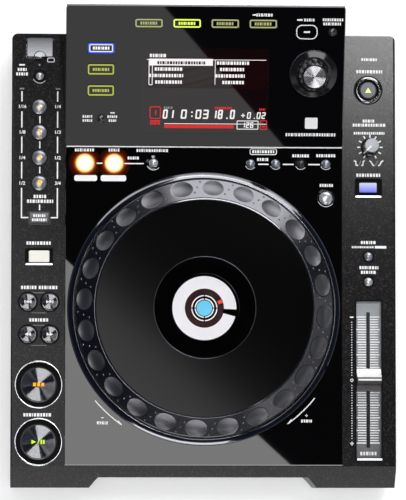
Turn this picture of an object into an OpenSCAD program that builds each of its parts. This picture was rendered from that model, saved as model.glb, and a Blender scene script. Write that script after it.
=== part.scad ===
// Tabletop disc player for mixing: a slot-loading case with a tilted display head,
// a touch-sensitive jog wheel, transport keys and a tempo fader.
// Millimetres. +Z is up, -Y is the side that the player stands at, the feet stand at Z = 0.
// Places along the deck are given as distances from the front edge of the case.

/* [Case] */
// Width of the strip of controls on each side of the gloss panels
strip_w = 42.5; // [42:0.1:43]
// Height of the deck above the table
deck_h = 70; // [69:0.5:74]
// Drop of the seam between the lower and the upper moulding below the disc slot
seam_drop = 9.5; // [8:0.5:12]
// Wall of the two mouldings
wall = 2.5; // [2.2:0.1:2.8]
// Thickness of the control deck
deck_t = 3; // [2.8:0.1:3.4]
// Height of the rubber feet
foot_h = 8; // [6:0.5:10]
// Radius of the rubber feet
foot_r = 11; // [8:0.5:14]
// Depth of the sloping front lip
bevel_d = 17; // [15:0.5:18]
// Drop of the sloping front lip
bevel_drop = 15; // [12:0.5:17]
// Corner radius at the back of the case
rear_corner_r = 4.5; // [3:0.5:6]
// Radius along the side edges of the deck
edge_r = 1.6; // [1:0.2:2.2]

/* [Disc slot] */
// Width of the hand notch along its inner edge
notch_w = 170.6; // [164:1:176]
// Depth of the hand notch
notch_d = 8.3; // [7:0.1:9]
// Sideways flare of the notch at the front edge
notch_flare = 5.9; // [4:0.1:7]
// Width of the disc slot
slot_w = 128; // [124:1:132]
// Height of the disc slot
slot_h = 6.2; // [5.6:0.1:7]
// Drop of the middle of the slot below the deck
slot_drop = 30.5; // [29.5:0.1:31.5]

/* [Display head] */
// Distance of the display panel from the row of keys in front of it
display_from_row = 13.1; // [13:0.1:14]
// Depth of the case behind the front edge of the display panel
head_run = 89.6; // [89:0.1:91]
// Length of the display panel up its slope
display_len = 113; // [112:0.5:116]
// Tilt of the display panel
display_tilt = 17.5; // [16:0.5:19]
// Thickness of the display panel
display_t = 2; // [1.6:0.1:2.4]
// Width of the screen
screen_w = 100; // [96:1:104]
// Height of the screen
screen_h = 68; // [64:1:70]

/* [Deck panel] */
// Thickness of the gloss deck panel
panel_t = 1.6; // [1.4:0.1:1.8]
// Height of the gloss deck panel above the deck
panel_rise = 0.6; // [0.4:0.1:0.8]
// Width of the gloss panel beside the jog wheel
panel_margin = 2.1; // [1.8:0.1:2.4]

/* [Jog wheel] */
// Outer radius of the fixed ring around the dial
surround_r = 107.9; // [107.6:0.1:108.6]
// Distance of the fixed ring from the front edge
ring_from_front = 33.5; // [33:0.1:34.5]
// Width of the fixed ring
ring_w = 5.6; // [5.4:0.1:5.8]
// Width of the dial outside the touch plate
dial_band = 16.1; // [16:0.1:18]
// Width of the touch plate outside its window
plate_band = 44.6; // [42:0.2:48]
// Height of the touch plate above the deck
plate_rise = 16; // [15:0.5:18]
// Number of finger dimples
dimple_count = 24; // [12:1:24]
// Distance of the middle of the dimples from the dial's outer edge
dimple_in = 7.1; // [6.7:0.1:7.7]
// Radius of the bearing tower
tower_r = 28; // [26:0.5:30]
// Press of the touch plate
touch_travel = 0.3; // [0.2:0.05:0.4]

/* [Keys] */
// Distance of the left column of controls from the side of the case
left_inset = 22.1; // [21.5:0.1:22.5]
// Distance of the right column of controls from the side of the case
right_inset = 21.7; // [21.3:0.1:22.3]
// Distance of the row of keys on the gloss panel from the jog wheel's ring
key_row_gap = 7.5; // [7:0.1:8]
// Radius of the small round keys
small_key_r = 3.2; // [2.8:0.1:3.4]
// Radius of the beat keys
beat_key_r = 5.7; // [5:0.1:6]
// Radius of the track and search keys
search_key_r = 6.9; // [6.2:0.1:7.2]
// Radius of the cue and play keys
transport_key_r = 13.7; // [13:0.1:14]
// Radius of the two lit loop keys
lit_key_r = 7.8; // [7:0.1:8.2]
// Radius of the eject key
eject_key_r = 6.5; // [6:0.1:6.8]
// Travel of the keys
key_travel = 0.8; // [0.6:0.05:0.9]
// Gap around each key
key_gap = 0.35; // [0.3:0.05:0.45]

/* [Tempo fader] */
// Distance of the fader well from the front edge
fader_from_front = 22.85; // [22.5:0.05:23.5]
// Distance of the fader well from the key behind it
fader_key_gap = 14.95; // [14.5:0.05:15.5]
// Length of the fader well that the slider cap takes up
fader_end_room = 25.3; // [25:0.1:30]
// Width of the fader well
fader_well_w = 20.8; // [20:0.1:21.6]
// Width of the slider cap
slider_w = 19.2; // [18:0.1:19.6]
// Length of the slider cap
slider_l = 17.4; // [15:0.1:18]

/* [Running fits] */
// Radial clearance of a shaft in its bearing
bearing_clearance = 0.05; // [0.03:0.01:0.08]
// Side clearance between parts that slide past each other
side_clearance = 0.35; // [0.3:0.01:0.4]

/* [Hidden] */
$fn = 64;

case_black = [0.13, 0.13, 0.13];
gloss_black = [0.03, 0.03, 0.035];
key_grey = [0.5, 0.5, 0.52];
board_green = [0.1, 0.3, 0.15];
steel = [0.7, 0.7, 0.72];

// ---- widths and depths that follow from the jog wheel ----
panel_w = 2 * (surround_r + panel_margin);
case_w = panel_w + 2 * strip_w;
jog_from_front = ring_from_front + surround_r;
key_row = jog_from_front + surround_r + key_row_gap;
display_from_front = key_row + display_from_row;
case_d = display_from_front + head_run;
dial_r = surround_r - ring_w;
plate_r = dial_r - dial_band;
window_r = plate_r - plate_band;
dimple_at_r = dial_r - dimple_in;
left_column = case_w / 2 - left_inset;
right_column = case_w / 2 - right_inset;
master_key_at = case_d - 196.4;
fader_well_l = master_key_at - fader_key_gap - fader_from_front;
fader_travel = fader_well_l - fader_end_room;

// ---- levels and edges ----
display_top_y = display_len * cos(display_tilt);
head_back = 1.3;
overall_d = display_from_front + display_top_y + head_back;
front_y = -overall_d / 2;
rear_y = front_y + case_d;
slot_z = deck_h - slot_drop;
seam_h = slot_z - seam_drop;
bend_y = front_y + bevel_d;
head_rear_y = overall_d / 2;
lip_z = deck_h - bevel_drop;
deck_under = deck_h - deck_t;
panel_z = deck_h + panel_rise;
display_y = front_y + display_from_front;
display_z = deck_h + display_t;
head_top_z = display_z + display_len * sin(display_tilt);
jog_y = front_y + jog_from_front;
cut = 1;          // how far a cutting shape runs past the face that it cuts

// ---- key stack: cap, retaining flange, stem, and the switch that it presses ----
flange_t = 1.2;
flange_lap = 0.8;
stem_r = 2;
switch_h = 3;
switch_w = 6;
board_t = 1.6;
board_top = deck_h - 12.4;
floor_t = 2;      // floor left under a well

// name, x, distance from front, radius, rise above the panel, well radius, well depth,
// crown ("cone", "dome" or "flat"), level of the panel that it stands in
KEYS = [
    ["usb_stop_button", -left_column, case_d - 33.9, small_key_r - 0.2, 0.4, 5.2, 1.2, "dome", deck_h],
    for (i = [0:3]) [str("beat_loop_", pow(2, i), "_button"), -left_column, case_d - 58.5 - 20.2 * i,
        beat_key_r, 1.7, 0, 0, "dome", deck_h],
    ["track_back_button", -left_column - 8.6, 146.3, search_key_r, 1.6, 0, 0, "cone", deck_h],
    ["track_forward_button", -left_column + 8.6, 146.3, search_key_r, 1.6, 0, 0, "cone", deck_h],
    ["search_back_button", -left_column - 8.6, 120.6, search_key_r, 1.6, 0, 0, "cone", deck_h],
    ["search_forward_button", -left_column + 8.6, 120.6, search_key_r, 1.6, 0, 0, "cone", deck_h],
    ["cue_button", -left_column, 81, transport_key_r, 1.8, 18, 4, "cone", deck_h],
    ["play_button", -left_column, 35.9, transport_key_r, 1.8, 18, 4, "cone", deck_h],
    ["eject_button", right_column, case_d - 43.5, eject_key_r, 0.8, 9.6, 3, "flat", deck_h],
    ["tempo_range_button", right_column, case_d - 176.2, small_key_r, 0.8, 4.4, 0.8, "dome", deck_h],
    ["master_tempo_button", right_column, master_key_at, small_key_r, 0.8, 4.4, 0.8, "dome", deck_h],
    ["loop_in_button", 15.5 - panel_w / 2, key_row - 0.4, lit_key_r, 1.2, 0, 0, "flat", panel_z],
    ["loop_out_button", 38.6 - panel_w / 2, key_row - 0.4, lit_key_r, 1.2, 0, 0, "flat", panel_z],
    ["reloop_button", 69.9 - panel_w / 2, key_row, small_key_r, 0.5, 6, 0.9, "dome", panel_z],
    ["call_back_button", panel_w / 2 - 73, key_row, small_key_r, 0.8, 4.4, 0.6, "dome", panel_z],
    ["call_forward_button", panel_w / 2 - 53, key_row, small_key_r, 0.8, 4.4, 0.6, "dome", panel_z],
    ["delete_button", panel_w / 2 - 33, key_row, small_key_r - 0.3, 0.3, 5, 0.9, "dome", panel_z],
    ["memory_button", panel_w / 2 - 13, key_row, small_key_r, 0.8, 4.4, 0.6, "dome", panel_z],
    ["slip_button", panel_w / 2 - 13, key_row - 27.2, small_key_r + 1.8, 0.8, 7.4, 0.9, "dome", panel_z]
];

// name, x, distance from front, width, length, rise, well width, well length, well depth
BAR_KEYS = [
    ["loop_select_button", -left_column, case_d - 146.8, 14.5, 8.2, 1.4, 0, 0, 0],
    ["direction_button", -left_column, case_d - 177.1, 15.7, 9.1, 0.4, 22.2, 12.6, 2.2],
    ["jog_mode_button", right_column, case_d - 121.3, 13.2, 7.5, 0.2, 21.6, 14.4, 2.2]
];

// name, u across the display, v up its slope, width, height, corner radius
DISPLAY_KEYS = [
    ["link_source_button", 27.6 - panel_w / 2, display_len - 34.2, 20.8, 8.4, 1],
    ["usb_source_button", 27.6 - panel_w / 2, display_len - 51.2, 20.8, 8.4, 1],
    ["disc_source_button", 27.6 - panel_w / 2, display_len - 68.1, 20.8, 8.4, 1],
    ["browse_button", -45, display_len - 14, 21.7, 6.9, 1],
    ["tag_list_button", -15, display_len - 14, 21.7, 6.9, 1],
    ["info_button", 15, display_len - 14, 21.7, 6.9, 1],
    ["menu_button", 45, display_len - 14, 21.7, 6.9, 1],
    ["back_button", panel_w / 2 - 30.5, display_len - 20.2, 17.4, 12.1, 5.5],
    ["time_mode_button", 28.1 - panel_w / 2, 22, 2 * small_key_r, 2 * small_key_r, small_key_r - 0.1],
    ["tag_track_button", panel_w / 2 - 10.1, display_len - 20.3, 2 * small_key_r, 2 * small_key_r, small_key_r - 0.1]
];
display_key_rise = 0.7;
display_board_depth = 12;

selector_u = panel_w / 2 - 24.5;
selector_v = display_len - 53.6;
selector_base_r = 14.5;
selector_top_r = 11;
selector_h = 13;
selector_shaft_r = 3;
selector_scallops = 16;

usb_lid_w = 19.8;
usb_lid_l = 14.7;
usb_lid_t = 1.8;
usb_lid_from_front = case_d - 10.8;
usb_well_depth = 5;
usb_pin_r = 1;
usb_pin_back = 1.3;     // hinge pin in front of the lid's back edge
usb_pin_down = 1.5;     // hinge pin below the deck

speed_knob_x = right_column + 1.4;
speed_knob_from_front = case_d - 89.1;
speed_knob_r = 7.2;
speed_knob_top_r = 5.4;
speed_knob_h = 16;
speed_shaft_r = 3;

drive_w = 150;
drive_l = 165;
drive_h = 29;
drive_wall = 1.2;
drive_z = slot_z - 19;
drive_front = front_y + notch_d + wall;
spindle_y = drive_front + 76;
spindle_r = 1.5;

fader_y = front_y + fader_from_front + fader_well_l / 2;
fader_frame = 2;
fader_depth = 5.5;
fader_slot_w = 1.8;
slider_h = 11.5;
slider_lift = 0.8;

screw_r = 1.5;
screw_head_r = 3;
screw_boss_r = 4.2;
screw_inset = wall + screw_boss_r + side_clearance;
screw_boss_h = 34;
screw_pilot_h = 24;
screw_front = 26;       // first screw behind the front edge
screw_rear = 12;        // last screw in front of the back
screw_ys = [front_y + screw_front, jog_y - 1.4, rear_y - 110, rear_y - screw_rear];

pan_r = surround_r + 6.1;
pan_t = 2;
pan_z = deck_h - 18.5;
post_r = 3.8;
post_at_r = pan_r - post_r - 0.6;

// ---- shared shapes ----
// rectangle with round corners
module round_rect(w, l, r) {
    square([w - 2 * r, l], center = true);
    square([w, l - 2 * r], center = true);
    for (x = [-1, 1], y = [-1, 1]) translate([x * (w / 2 - r), y * (l / 2 - r)]) circle(r);
}

// a shape drawn on the sloping plane of the display: u across, v up, w out of the face
module on_display(u = 0, v = 0, w = 0)
    translate([0, display_y, display_z]) rotate([display_tilt, 0, 0]) translate([u, v, w]) children();

// a Y-Z outline carried across the width
module across(width) rotate([90, 0, 90]) translate([0, 0, -width / 2]) linear_extrude(width) children();

// point of the side view that lies v up the display's slope and w out of its face
function head_point(v, w) = [
    display_y + v * cos(display_tilt) - w * sin(display_tilt),
    display_z + v * sin(display_tilt) + w * cos(display_tilt)
];

function key_under(k) = k[6] > 1.5 ? deck_h - k[6] - floor_t : deck_under;
function bar_under(k) = k[8] > 1.5 ? deck_h - k[8] - floor_t : deck_under;

// the case as a solid, with its skin moved inwards by t
module case_block(t, bottom, top) {
    a = atan2(bevel_drop, bevel_d);
    y0 = front_y + t;
    under = t > 0 ? deck_t : 0;
    lip = lip_z + t * tan(a) - t / cos(a);
    bend = front_y + (deck_h - under - lip_z + t / cos(a)) / tan(a);
    r = max(edge_r - t, 0.2);
    corner = max(rear_corner_r - t, 0.5);
    difference() {
        intersection() {
            across(case_w - 2 * t) polygon([[y0, bottom], [y0, lip], [bend, deck_h - under],
                [rear_y - t, deck_h - under], [rear_y - t, bottom]]);
            translate([0, 0, bottom]) linear_extrude(top - bottom) {
                translate([0, (y0 + rear_y - t - corner) / 2])
                    square([case_w - 2 * t, rear_y - t - corner - y0], center = true);
                translate([0, rear_y - t - corner - 1])
                    square([case_w - 2 * t - 2 * corner, 2 * corner + 2], center = true);
                for (s = [-1, 1]) translate([s * (case_w / 2 - t - corner), rear_y - t - corner])
                    circle(corner);
            }
            translate([0, rear_y + cut, 0]) rotate([90, 0, 0]) linear_extrude(case_d + 2 * cut) {
                translate([0, (bottom + deck_h - under - r) / 2])
                    square([case_w - 2 * t, deck_h - under - r - bottom], center = true);
                translate([0, deck_h - under - r - 1])
                    square([case_w - 2 * t - 2 * r, 2 * r + 2], center = true);
                for (s = [-1, 1]) translate([s * (case_w / 2 - t - r), deck_h - under - r])
                    circle(r);
            }
        }
        hand_notch(t, bottom - cut, deck_h + cut);
    }
}

// the notch in the front edge that lets the fingers reach a disc in the slot
module hand_notch(t, bottom, top)
    translate([0, front_y, bottom]) linear_extrude(top - bottom)
        polygon([[-notch_w / 2 - notch_flare - t, -cut], [-notch_w / 2 - t, notch_d + t - 2.4],
            [-notch_w / 2 - t + 2.4, notch_d + t], [notch_w / 2 + t - 2.4, notch_d + t],
            [notch_w / 2 + t, notch_d + t - 2.4], [notch_w / 2 + notch_flare + t, -cut]]);

// side view of the display head's housing, with its skin moved inwards by t
module head_profile(t)
    polygon(t == 0
        ? [head_point(0, -display_t), head_point(display_len - 0.5, -display_t),
            [head_rear_y, head_top_z - 5], [head_rear_y, head_top_z - 14],
            [rear_y, deck_h - 8], [rear_y, deck_h - 12], [display_y + 0.6, deck_h - 12]]
        : [head_point(6, -display_t - t), head_point(display_len - 0.5 - t, -display_t - t),
            [head_rear_y - t, head_top_z - 5 - t], [head_rear_y - t, head_top_z - 13.2],
            [rear_y - t, deck_h - 7], [rear_y - t, deck_h - 14], [display_y + 6, deck_h - 14]]);

// ---- case ----
module lower_case() color(case_black) {
    difference() {
        union() {
            difference() {
                case_block(0, foot_h, seam_h);
                case_block(wall, foot_h + wall, seam_h + cut);
            }
            // bosses under the disc drive
            for (x = [-1, 1], y = [12, drive_l - 12])
                translate([x * (drive_w / 2 - 8), drive_front + y, foot_h + wall - 0.5])
                    cylinder(r = 4, h = drive_z - foot_h - wall + 0.5);
            // bosses under the main board
            for (x = [-1, 1], y = [main_board_y + 6, main_board_y + main_board_l - 6])
                translate([x * (main_board_w / 2 - 6), y, foot_h + wall - 0.5])
                    cylinder(r = 3.5, h = main_board_z - foot_h - wall + 0.5);
            // long ribs that stiffen the floor
            for (x = [-1, 1]) translate([x * (drive_w / 2 + 30) - 1, front_y + 30, foot_h + wall - 0.5])
                cube([2, case_d - 60, 6]);
        }
        at_screws() translate([0, 0, foot_h - cut]) {
            cylinder(r = screw_r + 0.3, h = wall + 2 * cut);
            cylinder(r = screw_head_r + 0.3, h = cut + 1.2);
        }
        // air slots in the floor
        for (i = [-4:4]) translate([i * 12 - 2, rear_y - 70, foot_h - cut]) cube([4, 40, wall + 2 * cut]);
    }
}

module at_screws()
    for (x = [-1, 1], y = screw_ys) translate([x * (case_w / 2 - screw_inset), y, 0]) children();

module upper_case() color(case_black) {
    difference() {
        union() {
            difference() {
                union() {
                    case_block(0, seam_h, deck_h);
                    across(panel_w - 1) head_profile(0);
                }
                case_block(wall, seam_h - cut, deck_h - 0.1);
                across(panel_w - 1 - 2 * wall) head_profile(wall);
            }
            // pads under the wells
            for (k = KEYS) if (k[6] > 1.5)
                translate([k[1], front_y + k[2], key_under(k)]) cylinder(r = k[5] + 2, h = k[6]);
            for (k = BAR_KEYS) if (k[8] > 1.5)
                translate([k[1], front_y + k[2], bar_under(k)]) linear_extrude(k[8])
                    square([k[6] + 3, k[7] + 3], center = true);
            translate([-left_column, front_y + usb_lid_from_front, deck_h - usb_well_depth - floor_t])
                linear_extrude(usb_well_depth) square([usb_lid_w + 7, usb_lid_l + 5.4], center = true);
            // frame around the tempo fader
            translate([right_column, fader_y, deck_h - fader_depth]) linear_extrude(fader_depth - 1)
                square([fader_well_w + 2 * fader_frame, fader_well_l + 2 * fader_frame], center = true);
            // bosses for the case screws, tied to the side walls
            at_screws() translate([0, 0, foot_h + wall]) cylinder(r = screw_boss_r, h = screw_boss_h);
            for (x = [-1, 1], y = screw_ys)
                translate([x * (case_w / 2 - wall / 2 - screw_inset / 2), y, seam_h + 0.01])
                    linear_extrude(foot_h + wall + screw_boss_h - seam_h - 0.01)
                        square([screw_inset - wall / 2, 5], center = true);
            // bosses that carry the strip boards
            for (p = board_bosses) translate([p[0], p[1], board_top])
                cylinder(r = 2.6, h = deck_under - board_top + 1);
            // bosses that carry the display board
            for (p = display_bosses) on_display(p[0], p[1], -display_board_depth)
                cylinder(r = 2.6, h = display_board_depth - display_t - 1);
        }
        // seat of the gloss deck panel, and the big hole for the jog wheel
        translate([0, (bend_y + display_y) / 2 + 0.1, panel_z - panel_t]) linear_extrude(panel_t)
            square([panel_w + 0.2, display_y - bend_y - 0.8], center = true);
        translate([0, jog_y, deck_under - cut]) cylinder(r = surround_r - 2.6, h = deck_t + 2 * cut);
        for (k = KEYS) translate([k[1], front_y + k[2], 0]) {
            translate([0, 0, key_under(k) - cut]) cylinder(r = k[3] + key_gap, h = deck_h);
            if (k[6] > 1.5) translate([0, 0, deck_h - k[6]]) cylinder(r = k[5], h = k[6] + cut);
            else if (k[5] > 0 && k[8] == deck_h) translate([0, 0, deck_h - k[6]])
                cylinder(r1 = k[3] + key_gap + 0.4, r2 = k[5], h = k[6] + 0.01);
        }
        for (k = BAR_KEYS) translate([k[1], front_y + k[2], 0]) {
            translate([0, 0, bar_under(k) - cut]) linear_extrude(deck_h)
                round_rect(k[3] + 2 * key_gap, k[4] + 2 * key_gap, 0.8);
            if (k[8] > 1.5) translate([0, 0, deck_h - k[8]]) linear_extrude(k[8] + cut)
                round_rect(k[6], k[7], 1);
        }
        // well, finger scoop and port hole of the memory stick
        translate([-left_column, front_y + usb_lid_from_front, deck_h - usb_well_depth]) {
            linear_extrude(usb_well_depth + cut) square([usb_lid_w + 1.8, usb_lid_l + 2.6], center = true);
            translate([0, 0, -floor_t - cut]) linear_extrude(floor_t + 2 * cut) square([13.8, 6.5], center = true);
        }
        translate([-left_column, front_y + usb_lid_from_front - usb_lid_l / 2 + 4.8, deck_h - 1.6])
            cylinder(r1 = 7.4, r2 = 8.6, h = 1.6 + 0.01);
        usb_pin(bearing_clearance, side_clearance);
        // fader well and speed knob shaft
        translate([right_column, fader_y, deck_h - fader_depth - cut]) linear_extrude(fader_depth + 2 * cut)
            round_rect(fader_well_w, fader_well_l, 1);
        translate([speed_knob_x, front_y + speed_knob_from_front, deck_under - cut])
            cylinder(r = speed_shaft_r + side_clearance, h = deck_t + 2 * cut);
        // disc slot
        translate([-slot_w / 2, front_y + notch_d - cut, slot_z - slot_h / 2]) cube([slot_w, wall + 2 * cut, slot_h]);
        // screw pilots
        at_screws() translate([0, 0, foot_h]) cylinder(r = screw_r + bearing_clearance, h = screw_pilot_h);
        // display head: keys, screen and selector
        for (k = DISPLAY_KEYS) on_display(k[1], k[2], -display_t - wall - cut)
            linear_extrude(wall + 2 * cut) round_rect(k[3] + 2 * key_gap, k[4] + 2 * key_gap, k[5]);
        on_display(0, screen_v, -display_t - wall - cut) linear_extrude(wall + 2 * cut)
            square([screen_w + 2 * screen_lap + 0.6, screen_h + 2 * screen_lap + 0.6], center = true);
        on_display(selector_u, selector_v, -display_t - wall - cut)
            cylinder(r = selector_shaft_r + side_clearance, h = wall + 2 * cut);
        // back panel cut-outs
        for (x = phono_xs) translate([x, rear_y - wall - cut, jack_z]) rotate([-90, 0, 0])
            cylinder(r = 5.2, h = wall + 2 * cut);
        for (s = BOX_SOCKETS) translate([s[0], rear_y - wall / 2, jack_z])
            cube([s[1] + 0.4, wall + 2 * cut, s[2] + 0.4], center = true);
        translate([power_switch_x, rear_y - wall / 2, jack_z])
            cube([power_switch_w + 2 * side_clearance, wall + 2 * cut, power_switch_h + 2 * side_clearance],
                center = true);
        // air slots in the back panel
        for (i = [-5:5]) translate([i * 9 - 1.5, rear_y - wall - cut, deck_h - 16]) cube([3, wall + 2 * cut, 5]);
    }
}

boss_out = 14;          // strip bosses stand this far from the middle of their column
board_bosses = [
    [-left_column - 17, front_y + 100], [-left_column + 15, front_y + 100],
    for (x = [-1, 1], y = [163, 88.8]) [-left_column + x * boss_out, rear_y - y],
    [-left_column - 16, bend_y + 9.5],
    for (x = [-1, 1], y = [144.5, 64.5, 186.5]) [right_column + x * boss_out, rear_y - y],
    [53 - panel_w / 2, front_y + key_row + 1.5], [panel_w / 2 - 93, front_y + key_row + 1.5],
    [panel_w / 2 - 13, front_y + key_row - 13.3]
];
display_bosses = [[11 - panel_w / 2, 14], [panel_w / 2 - 11, 14], [11 - panel_w / 2, display_len - 16],
    [-screen_w / 2 - 13, display_len - 47], [screen_w / 2 + 13, display_len - 47],
    [screen_w / 2 + 12, display_len - 14], [-screen_w / 2 - 13, display_len - 13]];

// gloss panel that covers the deck around the jog wheel
module deck_panel() color(gloss_black) {
    chamfer = 0.5;
    length = display_y - bend_y - 1;
    difference() {
        translate([0, (bend_y + display_y) / 2 + 0.1, panel_z - panel_t]) {
            linear_extrude(panel_t - chamfer) square([panel_w, length], center = true);
            intersection() {
                translate([0, 0, panel_t - chamfer - 0.01]) linear_extrude(chamfer + 0.01)
                    square([panel_w, length], center = true);
                across(panel_w) polygon([[-length / 2, 0], [-length / 2, panel_t - chamfer],
                    [-length / 2 + chamfer, panel_t], [length / 2, panel_t], [length / 2, 0]]);
                translate([0, length / 2, 0]) rotate([90, 0, 0]) linear_extrude(length)
                    polygon([[-panel_w / 2, 0], [-panel_w / 2, panel_t - chamfer],
                        [-panel_w / 2 + chamfer, panel_t], [panel_w / 2 - chamfer, panel_t],
                        [panel_w / 2, panel_t - chamfer], [panel_w / 2, 0]]);
            }
        }
        translate([0, jog_y, deck_h - 4]) cylinder(r = surround_r - 2.6, h = 8);
        for (k = KEYS) if (k[8] == panel_z) translate([k[1], front_y + k[2], 0]) {
            translate([0, 0, deck_h - 4]) cylinder(r = k[3] + key_gap, h = 8);
            if (k[5] > 0) translate([0, 0, panel_z - k[6]])
                cylinder(r1 = k[3] + key_gap + 0.4, r2 = k[5], h = k[6] + 0.01);
        }
    }
}

// ---- display head ----
screen_v = display_len - 68;
screen_lap = 2;
screen_module_t = 5;

module display_panel() color(gloss_black) {
    edge = 0.6;
    difference() {
        intersection() {
            on_display(0, display_len / 2, -display_t) linear_extrude(display_t)
                round_rect(panel_w, display_len, 3);
            on_display(0, 0, 0) across(panel_w) polygon([[0, -display_t], [0, -edge], [edge, 0],
                [display_len - edge, 0], [display_len, -edge], [display_len, -display_t]]);
            on_display(0, display_len, 0) rotate([90, 0, 0]) linear_extrude(display_len)
                polygon([[-panel_w / 2, -display_t], [-panel_w / 2, -edge], [-panel_w / 2 + edge, 0],
                    [panel_w / 2 - edge, 0], [panel_w / 2, -edge], [panel_w / 2, -display_t]]);
        }
        for (k = DISPLAY_KEYS) on_display(k[1], k[2], -display_t - cut)
            linear_extrude(display_t + 2 * cut) round_rect(k[3] + 2 * key_gap, k[4] + 2 * key_gap, k[5]);
        on_display(0, screen_v, -display_t - cut) linear_extrude(display_t + 2 * cut)
            square([screen_w + 0.2, screen_h + 0.2], center = true);
        on_display(selector_u, selector_v, -display_t - cut)
            cylinder(r = selector_shaft_r + side_clearance, h = display_t + 2 * cut);
    }
}

// display module: glass that stands flush in the panel's window, on its metal tray
module display_screen() color([0.08, 0.03, 0.03]) {
    on_display(0, screen_v, -display_t - 0.01) linear_extrude(display_t + 0.01)
        square([screen_w, screen_h], center = true);
    on_display(0, screen_v, -display_t - screen_module_t) linear_extrude(screen_module_t)
        square([screen_w + 2 * screen_lap, screen_h + 2 * screen_lap], center = true);
}

// ---- jog wheel ----
hub_wall = 5;
web_z = deck_h + 2.5;
web_t = 2.5;
plate_z = deck_h + plate_rise;
plate_t = 2.5;
dial_rim_z = plate_z - 1.1;
ledge_z = plate_z - plate_t - 0.5 - touch_travel;
dial_bottom = deck_h - 5.5;
dial_edge_z = deck_h + 6.6;
plate_lip_r = window_r - 1.6;
tower_top = deck_h + 4;

module at_jog() translate([0, jog_y, 0]) children();

// a barrel about the X axis: the cutting shape of one finger dimple
module barrel(small_r, long_r) rotate([0, 90, 0]) rotate_extrude() intersection() {
    translate([small_r - long_r, 0]) circle(long_r);
    translate([0, -long_r]) square([long_r, 2 * long_r]);
}

module jog_dial() color([0.16, 0.16, 0.18]) at_jog() {
    rise = dial_rim_z - dial_edge_z - 1;
    run = dial_r - 0.7 - plate_r - 2;
    slope = atan2(rise, run);
    band_z = dial_edge_z + 1 + (dial_r - 0.7 - dimple_at_r) * rise / run;
    dimple_r = 10.3;
    dimple_depth = 1.8;
    difference() {
        rotate_extrude() polygon([
            [tower_r, pan_z + pan_t + side_clearance], [tower_r + hub_wall, pan_z + pan_t + side_clearance],
            [tower_r + hub_wall, web_z - web_t], [plate_r - 3.6, web_z - web_t],
            [plate_r - 3.6, ledge_z - 3.2], [dial_r - 4.8, deck_h + 3], [dial_r - 4.8, dial_bottom],
            [dial_r, dial_bottom], [dial_r, dial_edge_z], [dial_r - 0.7, dial_edge_z + 1],
            [plate_r + 2, dial_rim_z], [plate_r + 0.4, dial_rim_z], [plate_r + 0.4, ledge_z],
            [plate_r - 6, ledge_z], [plate_r - 6, web_z], [tower_r, web_z]]);
        for (i = [0:dimple_count - 1]) rotate([0, 0, i * 360 / dimple_count + 11])
            translate([dimple_at_r, 0, band_z]) rotate([0, slope, 0]) translate([0, 0, dimple_r - dimple_depth])
                rotate([0, 0, 90]) barrel(dimple_r, 19.6);
    }
}

module jog_plate() color([0.06, 0.06, 0.065]) at_jog() rotate_extrude() polygon([
    [plate_lip_r, web_z + side_clearance + touch_travel + 0.2],
    [plate_lip_r + 4, web_z + side_clearance + touch_travel + 0.2],
    [plate_lip_r + 4, plate_z - plate_t], [plate_r, plate_z - plate_t], [plate_r, plate_z - 0.7],
    [plate_r - 0.7, plate_z], [window_r + 0.1, plate_z], [window_r + 0.1, plate_z - 1.4],
    [plate_lip_r, plate_z - 1.4]]);

module jog_window() color([0.2, 0.2, 0.22, 0.5]) at_jog() rotate_extrude() polygon([
    [0, plate_z - 1.4], [window_r, plate_z - 1.4], [window_r, plate_z + 0.1],
    [window_r - 0.4, plate_z + 0.4], [0, plate_z + 0.4]]);

module jog_ring() color([0.2, 0.2, 0.21]) at_jog() rotate_extrude() polygon([
    [dial_r + 0.7, deck_h - 3.4], [surround_r - 2.7, deck_h - 3.4], [surround_r - 2.7, panel_z],
    [surround_r, panel_z], [surround_r, panel_z + 0.6], [surround_r - 0.9, panel_z + 1.8],
    [surround_r - 3.6, panel_z + 3.8], [surround_r - 4.2, panel_z + 3.9], [surround_r - 4.7, panel_z + 3.4],
    [dial_r + 0.7, deck_h + 1.6]]);

// pan hung from the deck, with the hollow tower that the dial turns on
module jog_bearing() color(steel) at_jog() difference() {
    union() {
        translate([0, 0, pan_z]) cylinder(r = pan_r, h = pan_t);
        translate([0, 0, pan_z]) cylinder(r = tower_r - bearing_clearance, h = tower_top - pan_z);
        for (i = [0:5]) rotate([0, 0, 30 + 60 * i]) translate([post_at_r, 0, pan_z])
            cylinder(r = post_r, h = deck_under - pan_z);
    }
    translate([0, 0, pan_z - cut]) cylinder(r = tower_r - 6, h = tower_top - pan_z + 2 * cut);
    for (i = [0:5]) rotate([0, 0, 60 * i]) translate([68, 0, pan_z - cut]) cylinder(r = 19, h = pan_t + 2 * cut);
}

module jog_display() color([0.85, 0.85, 0.88]) at_jog() translate([0, 0, tower_top])
    rotate_extrude() polygon([[0, 0], [tower_r - 0.5, 0], [tower_r - 0.5, 2.1], [tower_r - 0.9, 2.5], [0, 2.5]]);

// ---- sockets ----
jack_z = 44;
phono_xs = [-100, -82, -58];
// x, width, height, depth behind the back panel, cavity width, cavity height
BOX_SOCKETS = [[-20, 16.5, 14, 16, 11.8, 8], [12, 12, 11, 15, 8.6, 7.8], [108, 24, 16, 20, 17, 9.4]];
power_switch_x = 76;
power_switch_w = 12;
power_switch_h = 8;
power_travel = 2.5;

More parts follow.
